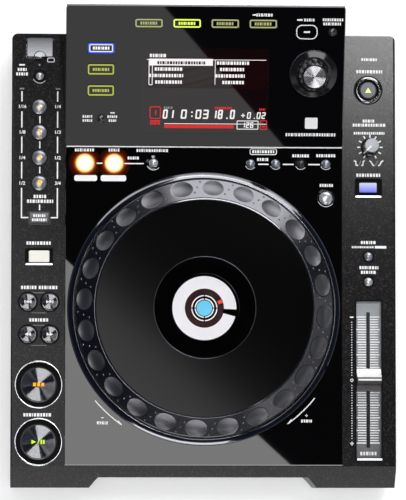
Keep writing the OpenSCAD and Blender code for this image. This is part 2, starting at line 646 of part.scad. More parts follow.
module sockets() color([0.25, 0.25, 0.27]) {
    // phono sockets: flange, barrel and centre hole
    for (x = phono_xs) translate([x, rear_y, jack_z]) rotate([-90, 0, 0]) difference() {
        union() {
            translate([0, 0, -14]) linear_extrude(14 - wall) square([11, 13], center = true);
            translate([0, 0, -wall - 0.01]) cylinder(r = 5, h = wall + 1);
            cylinder(r = 4.15, h = 9);
        }
        translate([0, 0, -6]) cylinder(r = 1.6, h = 16);
    }
    for (s = BOX_SOCKETS) translate([s[0], rear_y, jack_z]) difference() {
        translate([-s[1] / 2, -s[3], -s[2] / 2]) cube([s[1], s[3] + 0.4, s[2]]);
        translate([-s[4] / 2, -s[3] + 3, -s[5] / 2]) cube([s[4], s[3], s[5]]);
    }
    // tongue of the square data socket
    translate([BOX_SOCKETS[1][0] - 2.8, rear_y - BOX_SOCKETS[1][3] + 2.9, jack_z - 1.6]) cube([5.6, 9, 3.2]);
    // the two pins of the mains inlet
    for (x = [-1, 1]) translate([BOX_SOCKETS[2][0] + x * 4.3, rear_y - BOX_SOCKETS[2][3] + 2.9, jack_z])
        rotate([-90, 0, 0]) cylinder(r = 1.2, h = 13);
    // memory stick port under the lid, with its contact tongue
    port_h = deck_h - usb_well_depth - board_top;
    translate([-left_column, front_y + usb_lid_from_front, board_top]) difference() {
        translate([-6.6, -2.95, 0]) cube([13.2, 5.9, port_h]);
        translate([-6.1, -2.35, 1.2]) cube([12.2, 4.7, port_h]);
    }
    translate([-left_column - 5.5, front_y + usb_lid_from_front - 0.4, board_top + 1.1])
        cube([11, 1.9, port_h - 1.6]);
}

module power_switch() color([0.1, 0.1, 0.1]) translate([power_switch_x, rear_y, jack_z])
    rotate([90, 0, 0]) {
        translate([0, 0, -power_travel - 1]) linear_extrude(power_travel + 1 + wall + 3)
            round_rect(power_switch_w, power_switch_h, 1);
        translate([0, 0, wall + side_clearance]) linear_extrude(2)
            square([power_switch_w + 3, power_switch_h + 3], center = true);
    }

// ---- circuit boards ----
main_board_w = case_w - 105;
main_board_l = 120;
main_board_y = rear_y - wall - main_board_l - 6;
main_board_z = foot_h + wall + 6;

module board(x0, x1, y0, y1) translate([x0, y0, board_top - board_t]) cube([x1 - x0, y1 - y0, board_t]);

module circuit_boards() color(board_green) {
    // main board with the mains supply's coil and capacitors, and the stack behind the sockets
    translate([-main_board_w / 2, main_board_y, main_board_z]) cube([main_board_w, main_board_l, board_t]);
    translate([50, main_board_y + 20, main_board_z + board_t - 0.01]) cube([34, 28, 24]);
    for (x = [-70, -50, -30]) translate([x, main_board_y + 40, main_board_z + board_t - 0.01])
        cylinder(r = 7, h = 20);
    translate([-20, main_board_y + 50, main_board_z + board_t - 0.01]) cube([40, 40, 3]);
    // left strip: keys and the memory stick port
    board(-left_column - 18.5, -left_column + 16.5, front_y + 22, rear_y - 8);
    for (k = KEYS) if (k[1] < -left_column + 12) key_switch(k[1], k[2], key_under(k));
    for (k = BAR_KEYS) if (k[1] < 0) key_switch(k[1], k[2], bar_under(k));
    // right strip, behind the fader
    board(right_column - 16.5, right_column + 18, front_y + master_key_at - 8.1, rear_y - 8);
    for (k = KEYS) if (k[1] > right_column - 12) key_switch(k[1], k[2], key_under(k));
    for (k = BAR_KEYS) if (k[1] > 0) key_switch(k[1], k[2], bar_under(k));
    // base of the speed knob's control
    translate([speed_knob_x, front_y + speed_knob_from_front, board_top - 0.01])
        difference() {
            cylinder(r = 6, h = 7);
            translate([0, 0, 1]) cylinder(r = speed_shaft_r + bearing_clearance, h = 8);
        }
    // deck row
    board(6 - panel_w / 2, panel_w / 2 - 6, front_y + key_row - 1.6, front_y + key_row + 9.2);
    board(panel_w / 2 - 22, panel_w / 2 - 6, front_y + key_row - 34.8, front_y + key_row - 1.5);
    for (k = KEYS) if (abs(k[1]) < panel_w / 2) key_switch(k[1], k[2], key_under(k));
    // display board, with key switches and the selector's encoder
    on_display(6 - panel_w / 2, 8, -display_board_depth - board_t)
        cube([panel_w - 12, display_len - 18, board_t]);
    for (k = DISPLAY_KEYS) on_display(k[1], k[2], -display_board_depth - 0.01)
        linear_extrude(switch_h) square(switch_w, center = true);
    on_display(selector_u, selector_v, -display_board_depth - 0.01) difference() {
        linear_extrude(6) square(13, center = true);
        translate([0, 0, 1]) cylinder(r = selector_shaft_r + bearing_clearance, h = 8);
    }
}

// switch under a key; keys that hang lower have a switch that is lower in the same way
module key_switch(x, from_front, under)
    translate([x, front_y + from_front, board_top - 0.01])
        linear_extrude(switch_h - (deck_under - under) * 0.5) square(switch_w, center = true);
function switch_top(under) = board_top - 0.01 + switch_h - (deck_under - under) * 0.5;

// ---- keys ----
// round key, turned about its own axis
module round_key(k) {
    r = k[3];
    top = k[8] + k[4];
    under = key_under(k);
    bottom = switch_top(under) + key_travel + side_clearance;
    flange = under - side_clearance;
    edge = min(0.6, r * 0.15);
    crown = k[7] == "cone" ? -r * 0.09 : k[7] == "dome" ? r * 0.1 : 0;
    color(key_grey) translate([k[1], front_y + k[2], 0]) rotate_extrude() polygon([
        [0, bottom], [min(stem_r, r - 0.5), bottom], [min(stem_r, r - 0.5), flange - flange_t],
        [r + key_gap + flange_lap, flange - flange_t], [r + key_gap + flange_lap, flange],
        [r, flange], [r, top - edge], [r - edge, top], [0, top + crown]]);
}

module bar_key(k) {
    under = bar_under(k);
    bottom = switch_top(under) + key_travel + side_clearance;
    flange = under - side_clearance;
    color(key_grey) translate([k[1], front_y + k[2], 0]) {
        translate([0, 0, flange - 0.01]) linear_extrude(deck_h + k[5] - flange) round_rect(k[3], k[4], 0.8);
        translate([0, 0, flange - flange_t]) linear_extrude(flange_t)
            square([k[3] + 2 * (key_gap + flange_lap), k[4] + 2 * (key_gap + flange_lap)], center = true);
        translate([0, 0, bottom]) cylinder(r = stem_r, h = flange - flange_t - bottom + 0.01);
    }
}

module display_key(k) {
    flange = -display_t - wall - side_clearance;
    bottom = -display_board_depth + switch_h + key_travel + side_clearance;
    color(gloss_black) on_display(k[1], k[2], 0) {
        translate([0, 0, flange - 0.01]) linear_extrude(display_key_rise - flange) round_rect(k[3], k[4], k[5]);
        translate([0, 0, flange - flange_t]) linear_extrude(flange_t)
            square([k[3] + 2 * (key_gap + flange_lap), k[4] + 2 * (key_gap + flange_lap)], center = true);
        translate([0, 0, bottom]) cylinder(r = stem_r, h = flange - flange_t - bottom + 0.01);
    }
}

// ---- rotary controls ----
selector_gap = key_travel + 0.5;

module selector_shaft() color(steel) on_display(selector_u, selector_v, 0)
    translate([0, 0, -display_board_depth + 1 + key_travel + side_clearance])
        cylinder(r = selector_shaft_r, h = display_board_depth + selector_h - 3.5 - key_travel);

module selector_knob() color(gloss_black) on_display(selector_u, selector_v, selector_gap) difference() {
    rotate_extrude() polygon([[0, 0], [selector_base_r, 0], [selector_base_r, 1.6],
        [selector_base_r - 1.2, 2.8], [selector_top_r + 0.8, 3.4], [selector_top_r, selector_h - 1],
        [selector_top_r - 1, selector_h], [selector_top_r - 1.6, selector_h], [0, selector_h - 1]]);
    for (i = [0:selector_scallops - 1]) rotate([0, 0, i * 360 / selector_scallops])
        translate([selector_top_r + 1.6, 0, 3.5]) cylinder(r = 2.4, h = selector_h);
    translate([0, 0, -cut]) cylinder(r = selector_shaft_r + bearing_clearance, h = selector_h - 1.5);
}

module speed_knob() color([0.75, 0.75, 0.77])
    translate([speed_knob_x, front_y + speed_knob_from_front, 0]) {
        difference() {
            translate([0, 0, deck_h + 0.8]) rotate_extrude() polygon([[0, 0], [speed_knob_r, 0],
                [speed_knob_r, 1.2], [speed_knob_r - 0.9, 2.2], [speed_knob_top_r + 0.2, speed_knob_h - 1],
                [speed_knob_top_r - 0.6, speed_knob_h], [0, speed_knob_h - 0.3]]);
            for (i = [0:17]) rotate([0, 0, 20 * i]) translate([speed_knob_r - 0.1, 0, deck_h + 3.4])
                rotate([0, -3.1, 0]) cylinder(r = 1.1, h = speed_knob_h);
        }
        translate([0, 0, board_top + 2]) cylinder(r = speed_shaft_r, h = deck_h + 0.9 - board_top - 2);
    }

// ---- tempo fader ----
module tempo_fader() color([0.3, 0.3, 0.31]) translate([right_column, fader_y, 0]) difference() {
    union() {
        translate([0, 0, deck_h - fader_depth - 1.5]) linear_extrude(1.5)
            square([fader_well_w + 2 * fader_frame, fader_well_l + 2 * fader_frame], center = true);
        translate([0, 0, deck_h - fader_depth - 13]) linear_extrude(12)
            square([12, fader_travel + 16], center = true);
    }
    translate([0, 0, deck_h - fader_depth - 2]) linear_extrude(4)
        square([fader_slot_w, fader_travel + 7.3], center = true);
    translate([0, 0, deck_h - fader_depth - 12]) linear_extrude(10.2)
        square([9, fader_travel + 12], center = true);
}

// cap with a raised cross ridge, on the blade that runs in the fader's slot
module tempo_slider() color([0.8, 0.8, 0.82]) translate([right_column, fader_y, 0]) {
    base = deck_h - fader_depth + slider_lift;
    half = slider_l / 2;
    translate([0, 0, base]) intersection() {
        across(slider_w) polygon([[-half, 0], [-half, 4.5], [-half + 0.6, 5.1], [-half + 3.4, 5.9],
            [-1.6, slider_h + 1.6], [-0.9, slider_h + 2], [0.9, slider_h + 2], [1.6, slider_h + 1.6],
            [half - 3.4, 5.9], [half - 0.6, 5.1], [half, 4.5], [half, 0]]);
        linear_extrude(slider_h + 3) round_rect(slider_w, slider_l, 1.2);
    }
    translate([0, 0, base - 8]) linear_extrude(8.01) square([fader_slot_w - 2 * side_clearance, 5], center = true);
    translate([0, 0, base - 8]) linear_extrude(3) square([9 - 2 * side_clearance, 7], center = true);
}

// ---- lid over the memory stick port ----
usb_lid_y = front_y + usb_lid_from_front;
usb_pin_y = usb_lid_y + usb_lid_l / 2 - usb_pin_back;

module usb_pin(grow, longer) translate([-left_column, usb_pin_y, deck_h - usb_pin_down]) rotate([0, 90, 0])
    translate([0, 0, -usb_lid_w / 2 - 2 - longer]) cylinder(r = usb_pin_r + grow, h = usb_lid_w + 4 + 2 * longer);

module usb_lid() color(key_grey) {
    difference() {
        translate([-left_column, usb_lid_y, deck_h + 0.2 - usb_lid_t]) linear_extrude(usb_lid_t)
            round_rect(usb_lid_w, usb_lid_l, 1.2);
        // finger crescent in the front edge
        translate([-left_column, usb_lid_y - usb_lid_l / 2 - 0.6, deck_h - 0.6])
            cylinder(r1 = 4.2, r2 = 5, h = 0.81);
    }
    usb_pin(0, 0);
}

// ---- disc drive ----
module disc_drive() color(steel) translate([0, drive_front, drive_z]) difference() {
    union() {
        difference() {
            translate([-drive_w / 2, 0, 0]) cube([drive_w, drive_l, drive_h]);
            translate([-drive_w / 2 + drive_wall, drive_wall, drive_wall])
                cube([drive_w - 2 * drive_wall, drive_l - 2 * drive_wall, drive_h - 2 * drive_wall]);
        }
        // spindle motor
        translate([0, spindle_y - drive_front, drive_wall - 0.1]) cylinder(r = 12, h = 8);
        // bearing blocks of the loading roller
        for (x = [-1, 1]) translate([x * (roller_half + 2.5) - 2, roller_at - 3, drive_wall - 0.1])
            cube([4, 6, roller_z + 3 - drive_wall]);
        // pick-up sled and its two rails
        translate([-15, spindle_y - drive_front + 22, drive_wall + 5]) cube([30, 22, 7]);
        for (x = [-11, 11]) translate([x, spindle_y - drive_front + 14, drive_wall + 8]) rotate([-90, 0, 0])
            cylinder(r = 1.5, h = drive_l - spindle_y + drive_front - 14 - drive_wall + 0.1);
    }
    translate([-slot_w / 2, -cut, slot_z - drive_z - slot_h / 2]) cube([slot_w, drive_wall + 2 * cut, slot_h]);
    translate([0, spindle_y - drive_front, drive_wall + 1]) cylinder(r = spindle_r + bearing_clearance, h = 12);
    translate([-roller_half - 6, roller_at, roller_z]) rotate([0, 90, 0])
        cylinder(r = spindle_r + bearing_clearance, h = 2 * roller_half + 12);
}

roller_half = 58;
roller_at = 14;
roller_r = 3.4;
roller_z = 12.2;

module disc_turntable() color([0.2, 0.2, 0.2]) translate([0, spindle_y, drive_z]) rotate_extrude() polygon([
    [0, drive_wall + 1.5], [spindle_r, drive_wall + 1.5], [spindle_r, drive_wall + 8.5],
    [15, drive_wall + 8.5], [15, drive_wall + 11], [7.4, drive_wall + 11], [7.2, drive_wall + 13.2],
    [5, drive_wall + 14], [0, drive_wall + 14]]);

module loading_roller() color([0.15, 0.15, 0.15]) translate([0, drive_front + roller_at, drive_z + roller_z])
    rotate([0, 90, 0]) rotate_extrude() polygon([[0, -roller_half - 4], [spindle_r, -roller_half - 4],
        [spindle_r, -roller_half], [roller_r, -roller_half], [roller_r - 1, 0], [roller_r, roller_half],
        [spindle_r, roller_half], [spindle_r, roller_half + 4], [0, roller_half + 4]]);

// ---- feet and screws ----
module rubber_feet() color([0.05, 0.05, 0.05])
    for (x = [-1, 1], y = [front_y + 34, rear_y - 28]) translate([x * (case_w / 2 - 34), y, 0])
        rotate_extrude() polygon([[0, 0], [foot_r - 1.5, 0], [foot_r - 0.4, 1], [foot_r, foot_h], [0, foot_h]]);

module case_screws() color(steel) at_screws() translate([0, 0, foot_h + 0.2]) difference() {
    union() {
        cylinder(r = screw_head_r, h = 1);
        cylinder(r = screw_r, h = 18);
    }
    translate([0, 0, -0.01]) cylinder(r = 1.2, h = 0.8, $fn = 6);
}

lower_case();
upper_case();
deck_panel();
display_panel();
display_screen();
jog_ring();
jog_bearing();
jog_display();
sockets();
circuit_boards();
disc_drive();
tempo_fader();
rubber_feet();
case_screws();
jog_dial();
jog_plate();
jog_window();
selector_shaft();
selector_knob();
speed_knob();
tempo_slider();
usb_lid();
disc_turntable();
loading_roller();
power_switch();
for (k = KEYS) round_key(k);
for (k = BAR_KEYS) bar_key(k);
for (k = DISPLAY_KEYS) display_key(k);
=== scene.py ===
"""A tabletop disc player for mixing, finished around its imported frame, in the frame's metres and axes."""
import math

import bmesh
import bpy
import numpy as np
from mathutils import Matrix, Vector


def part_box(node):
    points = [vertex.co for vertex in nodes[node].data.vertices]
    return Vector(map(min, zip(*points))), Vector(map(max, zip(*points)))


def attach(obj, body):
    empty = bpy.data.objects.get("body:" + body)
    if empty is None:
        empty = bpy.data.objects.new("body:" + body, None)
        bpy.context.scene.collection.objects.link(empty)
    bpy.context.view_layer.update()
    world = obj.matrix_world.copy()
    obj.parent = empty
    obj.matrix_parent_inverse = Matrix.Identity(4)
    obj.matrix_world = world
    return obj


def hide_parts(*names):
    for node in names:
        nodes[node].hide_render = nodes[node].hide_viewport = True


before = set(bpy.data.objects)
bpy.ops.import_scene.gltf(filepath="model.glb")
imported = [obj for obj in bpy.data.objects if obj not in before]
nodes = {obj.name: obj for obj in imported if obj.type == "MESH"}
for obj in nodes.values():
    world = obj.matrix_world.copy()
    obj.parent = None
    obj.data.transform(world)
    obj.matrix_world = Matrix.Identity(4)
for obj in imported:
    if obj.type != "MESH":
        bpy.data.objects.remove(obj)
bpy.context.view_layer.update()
MM = 0.001

# ---- studio: camera, floor and softboxes ----
# The player lies on a white table under a camera that hangs nearly straight above its front edge.
# Softboxes hang and stand round it, and the slanting edges of two of them show in the gloss panels.
CAMERA_TURNS = (0.0502, -0.0712, -0.0008)     # about Y, X and Z, in radians
CAMERA_OFFSET = Vector((0.77, 5.48, 0)) * MM
CAMERA_RANGE = 2.6844
CAMERA_AIM = Vector((0, 3.9, 70)) * MM
CAMERA_LENS = 243.97                          # millimetres, for a 36 mm sensor along the long side

turn = (Matrix.Rotation(CAMERA_TURNS[2], 3, "Z") @ Matrix.Rotation(CAMERA_TURNS[1], 3, "X")
        @ Matrix.Rotation(CAMERA_TURNS[0], 3, "Y"))
lens = bpy.data.cameras.new("camera")
lens.sensor_width, lens.lens, lens.clip_end = 36, CAMERA_LENS, 50
camera = bpy.data.objects.new("camera", lens)
place = turn.transposed().to_4x4()
place.translation = CAMERA_AIM + turn.transposed() @ (Vector((0, 0, CAMERA_RANGE)) - CAMERA_OFFSET)
camera.matrix_world = place
bpy.context.scene.collection.objects.link(camera)
bpy.context.scene.camera = camera
bpy.context.scene.view_settings.view_transform = "Standard"


class Socket:
    """One output of a material's nodes. Its operators add Math nodes, and take sockets or plain numbers."""

    def __init__(self, finish, out):
        self.finish, self.out = finish, out

    def maths(self, operation, *values):
        return self.finish.node("Math", dict(enumerate(values)), operation=operation)

    def __add__(self, other):
        return self.maths("ADD", self, other)

    def __sub__(self, other):
        return self.maths("SUBTRACT", self, other)

    def __rsub__(self, other):
        return self.maths("SUBTRACT", other, self)

    def __mul__(self, other):
        return self.maths("MULTIPLY", self, other)

    def clamp(self):
        return self.finish.node("Clamp", {0: self})

    __radd__, __rmul__ = __add__, __mul__


class Nodes:
    """A node tree with one method that makes any node in it."""

    def __init__(self, tree):
        self.tree = tree
        self.tree.nodes.clear()

    def feed(self, socket, value):
        """Links an output to a socket, or sets the socket to a plain value."""
        if isinstance(value, Socket):
            self.tree.links.new(value.out, socket)
        elif isinstance(value, (tuple, list)) and len(value) == 3 and socket.type == "RGBA":
            socket.default_value = (*value, 1)
        else:
            socket.default_value = value

    def node(self, kind, sockets=None, out=0, stops=None, **settings):
        """Adds a node of a type: its settings come first, then its ramp's stops and its sockets' values."""
        made = self.tree.nodes.new("ShaderNode" + kind)
        for name, value in settings.items():
            setattr(made, name, value)
        if stops:
            while len(made.color_ramp.elements) < len(stops):
                made.color_ramp.elements.new(0.5)
            for number, (at, color) in enumerate(stops):
                made.color_ramp.elements[number].position = at
                made.color_ramp.elements[number].color = (*color, 1)
        for name, value in (sockets or {}).items():
            self.feed(made.inputs[name], value)
        return Socket(self, made.outputs[out]) if made.outputs else made

    def where(self):
        """The place of the shaded point in its object, in metres."""
        return self.node("TexCoord", out=3)

    def axes(self, at=None):
        """X, Y and Z of a place, or of the shaded point."""
        split = self.node("SeparateXYZ", {0: at or self.where()}).out.node
        return [Socket(self, split.outputs[i]) for i in range(3)]

    def back(self, start, end):
        """How far a point lies on the way from start to end, both in millimetres along Y, from 0 to 1."""
        return ((self.axes()[1] - start * MM) * (1 / ((end - start) * MM))).clamp()

    def noise(self, scale, detail=2.0, stretch=None):
        """Noise with about scale waves to the metre, of a place whose axes stretch multiplies first."""
        at = self.where()
        if stretch:
            at = self.node("Mapping", {"Vector": at, "Scale": stretch})
        return self.node("TexNoise", {"Vector": at, "Scale": scale, "Detail": detail})

    def mix(self, share, first, second):
        """The colour a share of the way from first to second."""
        return self.node("Mix", {0: share, 6: first, 7: second}, out=2, data_type="RGBA")


class Finish(Nodes):
    """One material: a node tree that ends in a principled shader. Colours are linear."""

    def __init__(self, name, color=(0.5, 0.5, 0.5), rough=0.5, metallic=0.0, **sockets):
        self.material = bpy.data.materials.new(name)
        self.material.use_nodes = True
        super().__init__(self.material.node_tree)
        self.shader = self.tree.nodes.new("ShaderNodeBsdfPrincipled")
        self.end = self.tree.nodes.new("ShaderNodeOutputMaterial")
        self.tree.links.new(self.shader.outputs[0], self.end.inputs[0])
        self.set(Base_Color=color, Roughness=rough, Metallic=metallic, **sockets)

    def set(self, **sockets):
        """Feeds the shader's sockets by name, with _ in the place of a space."""
        for name, value in sockets.items():
            self.feed(self.shader.inputs[name.replace("_", " ")], value)
        return self

    def grain(self, color, rough, scale=500.0, spread=0.18, play=0.1):
        """Fine mottling: the colour varies by the share spread, and the roughness by play."""
        speck = self.noise(scale, 3.0)
        dark, light = (tuple(c * share for c in color) for share in (1 - spread, 1 + spread))
        return self.set(Base_Color=self.mix(speck, dark, light), Roughness=speck * play + (rough - play / 2))

    def bump(self, height, depth):
        """A bump whose full height is depth metres."""
        return self.set(Normal=self.node("Bump", {"Height": height, "Strength": 1.0, "Distance": depth}))


def mesh_piece(name, finish, points, faces, body="chassis", smooth=True):
    """A new piece from an array of points, in metres, and lists of faces, on one of the frame's bodies."""
    mesh = bpy.data.meshes.new(name)
    mesh.from_pydata(np.asarray(points, float).tolist(), [], [[int(i) for i in face] for face in faces])
    mesh.polygons.foreach_set("use_smooth", np.full(len(mesh.polygons), smooth))
    mesh.update()
    piece = bpy.data.objects.new(name, mesh)
    bpy.context.scene.collection.objects.link(piece)
    mesh.materials.append(finish.material)
    if body:
        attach(piece, body)
    return piece


def grid_faces(rows, columns, close_rows=False, close_columns=False):
    """Quads of a grid whose point (i, j) has the number i * columns + j. A closed side joins its last line
    to its first."""
    i, j = np.meshgrid(np.arange(rows if close_rows else rows - 1),
                       np.arange(columns if close_columns else columns - 1), indexing="ij")
    row, next_row, next_j = i * columns, (i + 1) % rows * columns, (j + 1) % columns
    return np.stack([row + j, next_row + j, next_row + next_j, row + next_j], -1).reshape(-1, 4)


# The table top is white, and a little brighter to the camera, so that it stays white under a soft shadow.
FLOOR_SIZE, FLOOR_STEPS = 4.0, 9
floor_finish = Finish("table_white", rough=0.9)
floor_finish.set(Base_Color=floor_finish.mix(floor_finish.noise(3.0), (0.8, 0.8, 0.8), (0.82, 0.82, 0.82)))
seen = floor_finish.node("LightPath", out=0)
glow = floor_finish.node("Emission", {"Color": (1.0, 1.0, 1.0), "Strength": seen * 0.38})
both = floor_finish.node("AddShader", {0: Socket(floor_finish, floor_finish.shader.outputs[0]), 1: glow})
floor_finish.tree.links.new(both.out, floor_finish.end.inputs[0])
u, v = np.meshgrid(*[np.linspace(-FLOOR_SIZE, FLOOR_SIZE, FLOOR_STEPS)] * 2, indexing="ij")
floor = mesh_piece("table_top", floor_finish, np.stack([u, v, u * 0], -1).reshape(-1, 3),
                   grid_faces(FLOOR_STEPS, FLOOR_STEPS), body=None)


def lamp_holder(name, size, radiance):
    """A rectangular lamp that the camera doesn't see. Its power gives each point of it that radiance."""
    lamp = bpy.data.lights.new(name, "AREA")
    lamp.shape, lamp.size, lamp.size_y = "RECTANGLE", *size
    lamp.energy = radiance * math.pi * size[0] * size[1]
    holder = bpy.data.objects.new(name, lamp)
    bpy.context.scene.collection.objects.link(holder)
    holder.visible_camera = False
    return holder


def level_softbox(name, corner, along, size, radiance):
    """Hangs level. One edge runs from corner in the direction along, and the box lies left of it."""
    along = Vector((*along, 0)).normalized()
    middle = Vector(corner) + along * size[0] / 2 + Vector((-along.y, along.x, 0)) * size[1] / 2
    turned = Matrix.Rotation(math.atan2(along.y, along.x), 4, "Z")
    lamp_holder(name, size, radiance).matrix_world = Matrix.Translation(middle) @ turned


def standing_softbox(name, azimuth, from_zenith, distance, size, radiance):
    """Faces the player from a direction given in degrees; azimuth 90 is behind it and 270 in front."""
    a, b = math.radians(azimuth), math.radians(from_zenith)
    middle = Vector((math.cos(a) * math.sin(b), math.sin(a) * math.sin(b), math.cos(b))) * distance
    facing = (Vector((0, 0, 0.05)) - middle).to_track_quat("-Z", "Y").to_matrix().to_4x4()
    facing.translation = middle
    lamp_holder(name, size, radiance).matrix_world = facing


level_softbox("deck_softbox", (0.535, -0.331, 3.5), (-0.74, 0.673), (1.9, 1.1), 3.1)
level_softbox("display_softbox", (0.50, -2.016, 3.5), (-0.622, 0.783), (1.0, 1.6), 0.75)
level_softbox("corner_lamp", (0.33, 0.54, 3.5), (1.0, 0.0), (0.4, 0.45), 44.0)
level_softbox("left_softbox", (-0.46, -1.5, 3.4), (0.0, 1.0), (2.1, 0.35), 7.0)
standing_softbox("rear_softbox", 73, 57, 3.2, (2.9, 1.8), 4.6)
standing_softbox("rear_wall", 91, 74, 3.4, (7.0, 0.62), 3.0)
standing_softbox("right_softbox", 335, 51, 3.2, (3.6, 0.75), 1.3)
standing_softbox("knob_lamp", 277, 41.3, 3.18, (1.0, 0.4), 8.0)
standing_softbox("front_strip", 262, 73, 3.4, (2.6, 0.5), 5.5)
standing_softbox("front_low", 262, 86, 3.4, (3.2, 0.5), 5.0)

studio = bpy.data.worlds.new("studio")
studio.use_nodes = True
bpy.context.scene.world = studio
sky = Nodes(studio.node_tree)
up = sky.axes(sky.node("TexCoord", out=0))[2]
shade = sky.node("ValToRGB", {0: up}, stops=[(0.0, (0.6, 0.6, 0.62)), (0.1, (0.5, 0.51, 0.54)),
                                              (0.17, (0.04, 0.055, 0.1)), (0.5, (0.03, 0.035, 0.06)),
                                              (1.0, (0.012, 0.012, 0.013))])
sky.node("OutputWorld", {0: sky.node("Background", {0: shade})})

# ---- case halves ----
# Both halves are injection-moulded in black plastic and sprayed with a fine metal-flake paint.
# The lower half carries the feet and screws, and the upper half the control strips and the display head.
DECK_Z = 70.0


def spot(node):
    """Middle and top of a node in millimetres, from the frame."""
    low, high = (np.array(corner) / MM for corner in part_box(node))
    return (low[0] + high[0]) / 2, (low[1] + high[1]) / 2, high[2]


def dress(finish, *names):
    """Puts a finish on CAD nodes."""
    for name in names:
        for slot in nodes[name].material_slots:
            slot.material = finish.material


case_finish = Finish("case_flake_paint", Specular_IOR_Level=0.15)
flake = case_finish.node("TexVoronoi", {"Vector": case_finish.where(), "Scale": 1250.0}, out=1)
pick = ((case_finish.axes(flake)[0] - 0.8) * 8.0).clamp()
mottle = case_finish.noise(330.0, 3.0)
ground = case_finish.mix(mottle, (0.003, 0.003, 0.0034), (0.006, 0.006, 0.0066))
tint = case_finish.mix(0.6, flake, (0.3, 0.34, 0.42))
case_finish.set(Base_Color=case_finish.mix(pick * 0.05, ground, tint), Roughness=mottle * 0.06 + 0.13)
case_finish.bump(case_finish.noise(1100.0, 2.0), 0.000012)
dress(case_finish, "upper_case", "lower_case")

# ---- gloss panels ----
# The deck panel and the display panel are sheets of black acrylic with polished faces.
# Each lies in a seat of the upper half.
PANEL_Z = spot("deck_panel")[2]
GLOSS = 0.74                                  # the specular level of polished acrylic and glass
gloss_finish = Finish("gloss_black", Specular_IOR_Level=GLOSS)
haze = gloss_finish.noise(7.0, 4.0)
gloss_finish.set(Base_Color=gloss_finish.mix(haze, (0.0008, 0.0008, 0.001), (0.0014, 0.0014, 0.0018)),
                 Roughness=haze * 0.012 + 0.006)
dress(gloss_finish, "deck_panel", "display_panel")

# ---- disc drive, bearing and boards ----
# The drive and the dial's bearing are pressed steel, and the selector's shaft and the screws turned steel.
# Green boards carry the key switches.
steel_finish = Finish("plain_steel", metallic=1.0).grain((0.42, 0.42, 0.43), 0.34, 90.0, 0.1, 0.2)
dress(steel_finish, "jog_bearing", "selector_shaft", "disc_drive", "case_screws")
board_finish = Finish("circuit_board").grain((0.02, 0.09, 0.035), 0.4, 260.0, 0.3, 0.1)
dress(board_finish, "circuit_boards")

# ---- jog wheel ----
# A polished ring is fixed round a die-cast dial with finger dimples, in silver-grey satin paint.
# A touch plate of coated metal with a smoked rim and a clear window lies on the dial.
JOG_Y = spot("jog_plate")[1]
ring_finish = Finish("jog_ring_chrome", metallic=1.0).grain((0.13, 0.132, 0.142), 0.09, 400.0, 0.06, 0.04)
plate_finish = Finish("jog_plate_coated", Specular_IOR_Level=0.2)
plate_finish.grain((0.0004, 0.0004, 0.0006), 0.095, 1200.0, 0.3, 0.03)
dress(plate_finish, "jog_plate")
window_finish = Finish("jog_window_clear", (0.93, 0.93, 0.95), Transmission_Weight=1.0, IOR=1.4)
window_finish.set(Roughness=window_finish.noise(40.0) * 0.015 + 0.005)
dress(window_finish, "jog_window")
lamp_ground = Finish("jog_display_black", Specular_IOR_Level=0.0)
lamp_ground.grain((0.0005, 0.0005, 0.0006), 0.5, 200.0)
dress(lamp_ground, "jog_display")


def revolve(profile, segments=96, ring=False):
    """The profile's (radius, height) points turned about the upright axis: (r cos a, r sin a, h). It runs
    from the top outwards and down, with both ends on the axis, or it is the closed section of a ring."""
    profile = np.asarray(profile, float)
    body = profile if ring else profile[1:-1]
    a = np.arange(segments) * 2 * math.pi / segments
    r, h = body[:, :1], np.repeat(body[:, 1:], segments, 1)
    points = np.stack([r * np.cos(a), r * np.sin(a), h], -1).reshape(-1, 3)
    faces = grid_faces(len(body), segments, ring, True).tolist()
    if not ring:
        j, last, top = np.arange(segments), (len(body) - 1) * segments, len(points)
        k = (j + 1) % segments
        points = np.vstack([points, [0, 0, profile[0, 1]], [0, 0, profile[-1, 1]]])
        faces += np.stack([j * 0 + top, j, k], -1).tolist()
        faces += np.stack([last + j, j * 0 + top + 1, last + k], -1).tolist()
    return points, faces


def merged(shapes):
    """Several (points, faces) pairs as one."""
    points, faces, count = [], [], 0
    for more, loops in shapes:
        points.append(np.asarray(more, float))
        faces += [[int(i) + count for i in loop] for loop in loops]
        count += len(more)
    return np.vstack(points), faces


def level(shape, x=0.0, y=0.0, z=0.0):
    """A shape drawn in millimetres round its own middle, moved to a place above the table."""
    return np.asarray(shape[0], float) + (x, y, z), shape[1]


def add(name, finish, shapes, at=(0, 0, 0), body="chassis", smooth=False, lay=level):
    """One piece from a shape, or a list of them, in millimetres, laid at one place."""
    shapes = shapes if isinstance(shapes, list) else [shapes]
    points, faces = merged([lay(shape, *at) for shape in shapes])
    return mesh_piece(name, finish, points * MM, faces, body, smooth)


def flat_ring(inner, outer, low, high, segments=128):
    """A ring with flat faces, from the level low to the level high."""
    return revolve([(inner, low), (inner, high), (outer, high), (outer, low)], segments, ring=True)


def half_round(radius, width, rise, foot=0.1):
    """A ring whose section is half an ellipse, width across and rise high, on a foot."""
    t = np.linspace(0, math.pi, 9)
    section = list(zip(radius - width / 2 * np.cos(t), rise * np.sin(t)))
    return revolve(section + [(radius + width / 2, -foot), (radius - width / 2, -foot)], 160, ring=True)


def pearl(radius, height, foot=0.3, sides=12, rings=4):
    """A button of light: a cap whose height follows the cosine of the way from its middle to its rim."""
    t = np.linspace(0, math.pi / 2, rings + 1)
    return revolve(list(zip(radius * np.sin(t), height * np.cos(t))) + [(radius, -foot), (0, -foot)], sides)


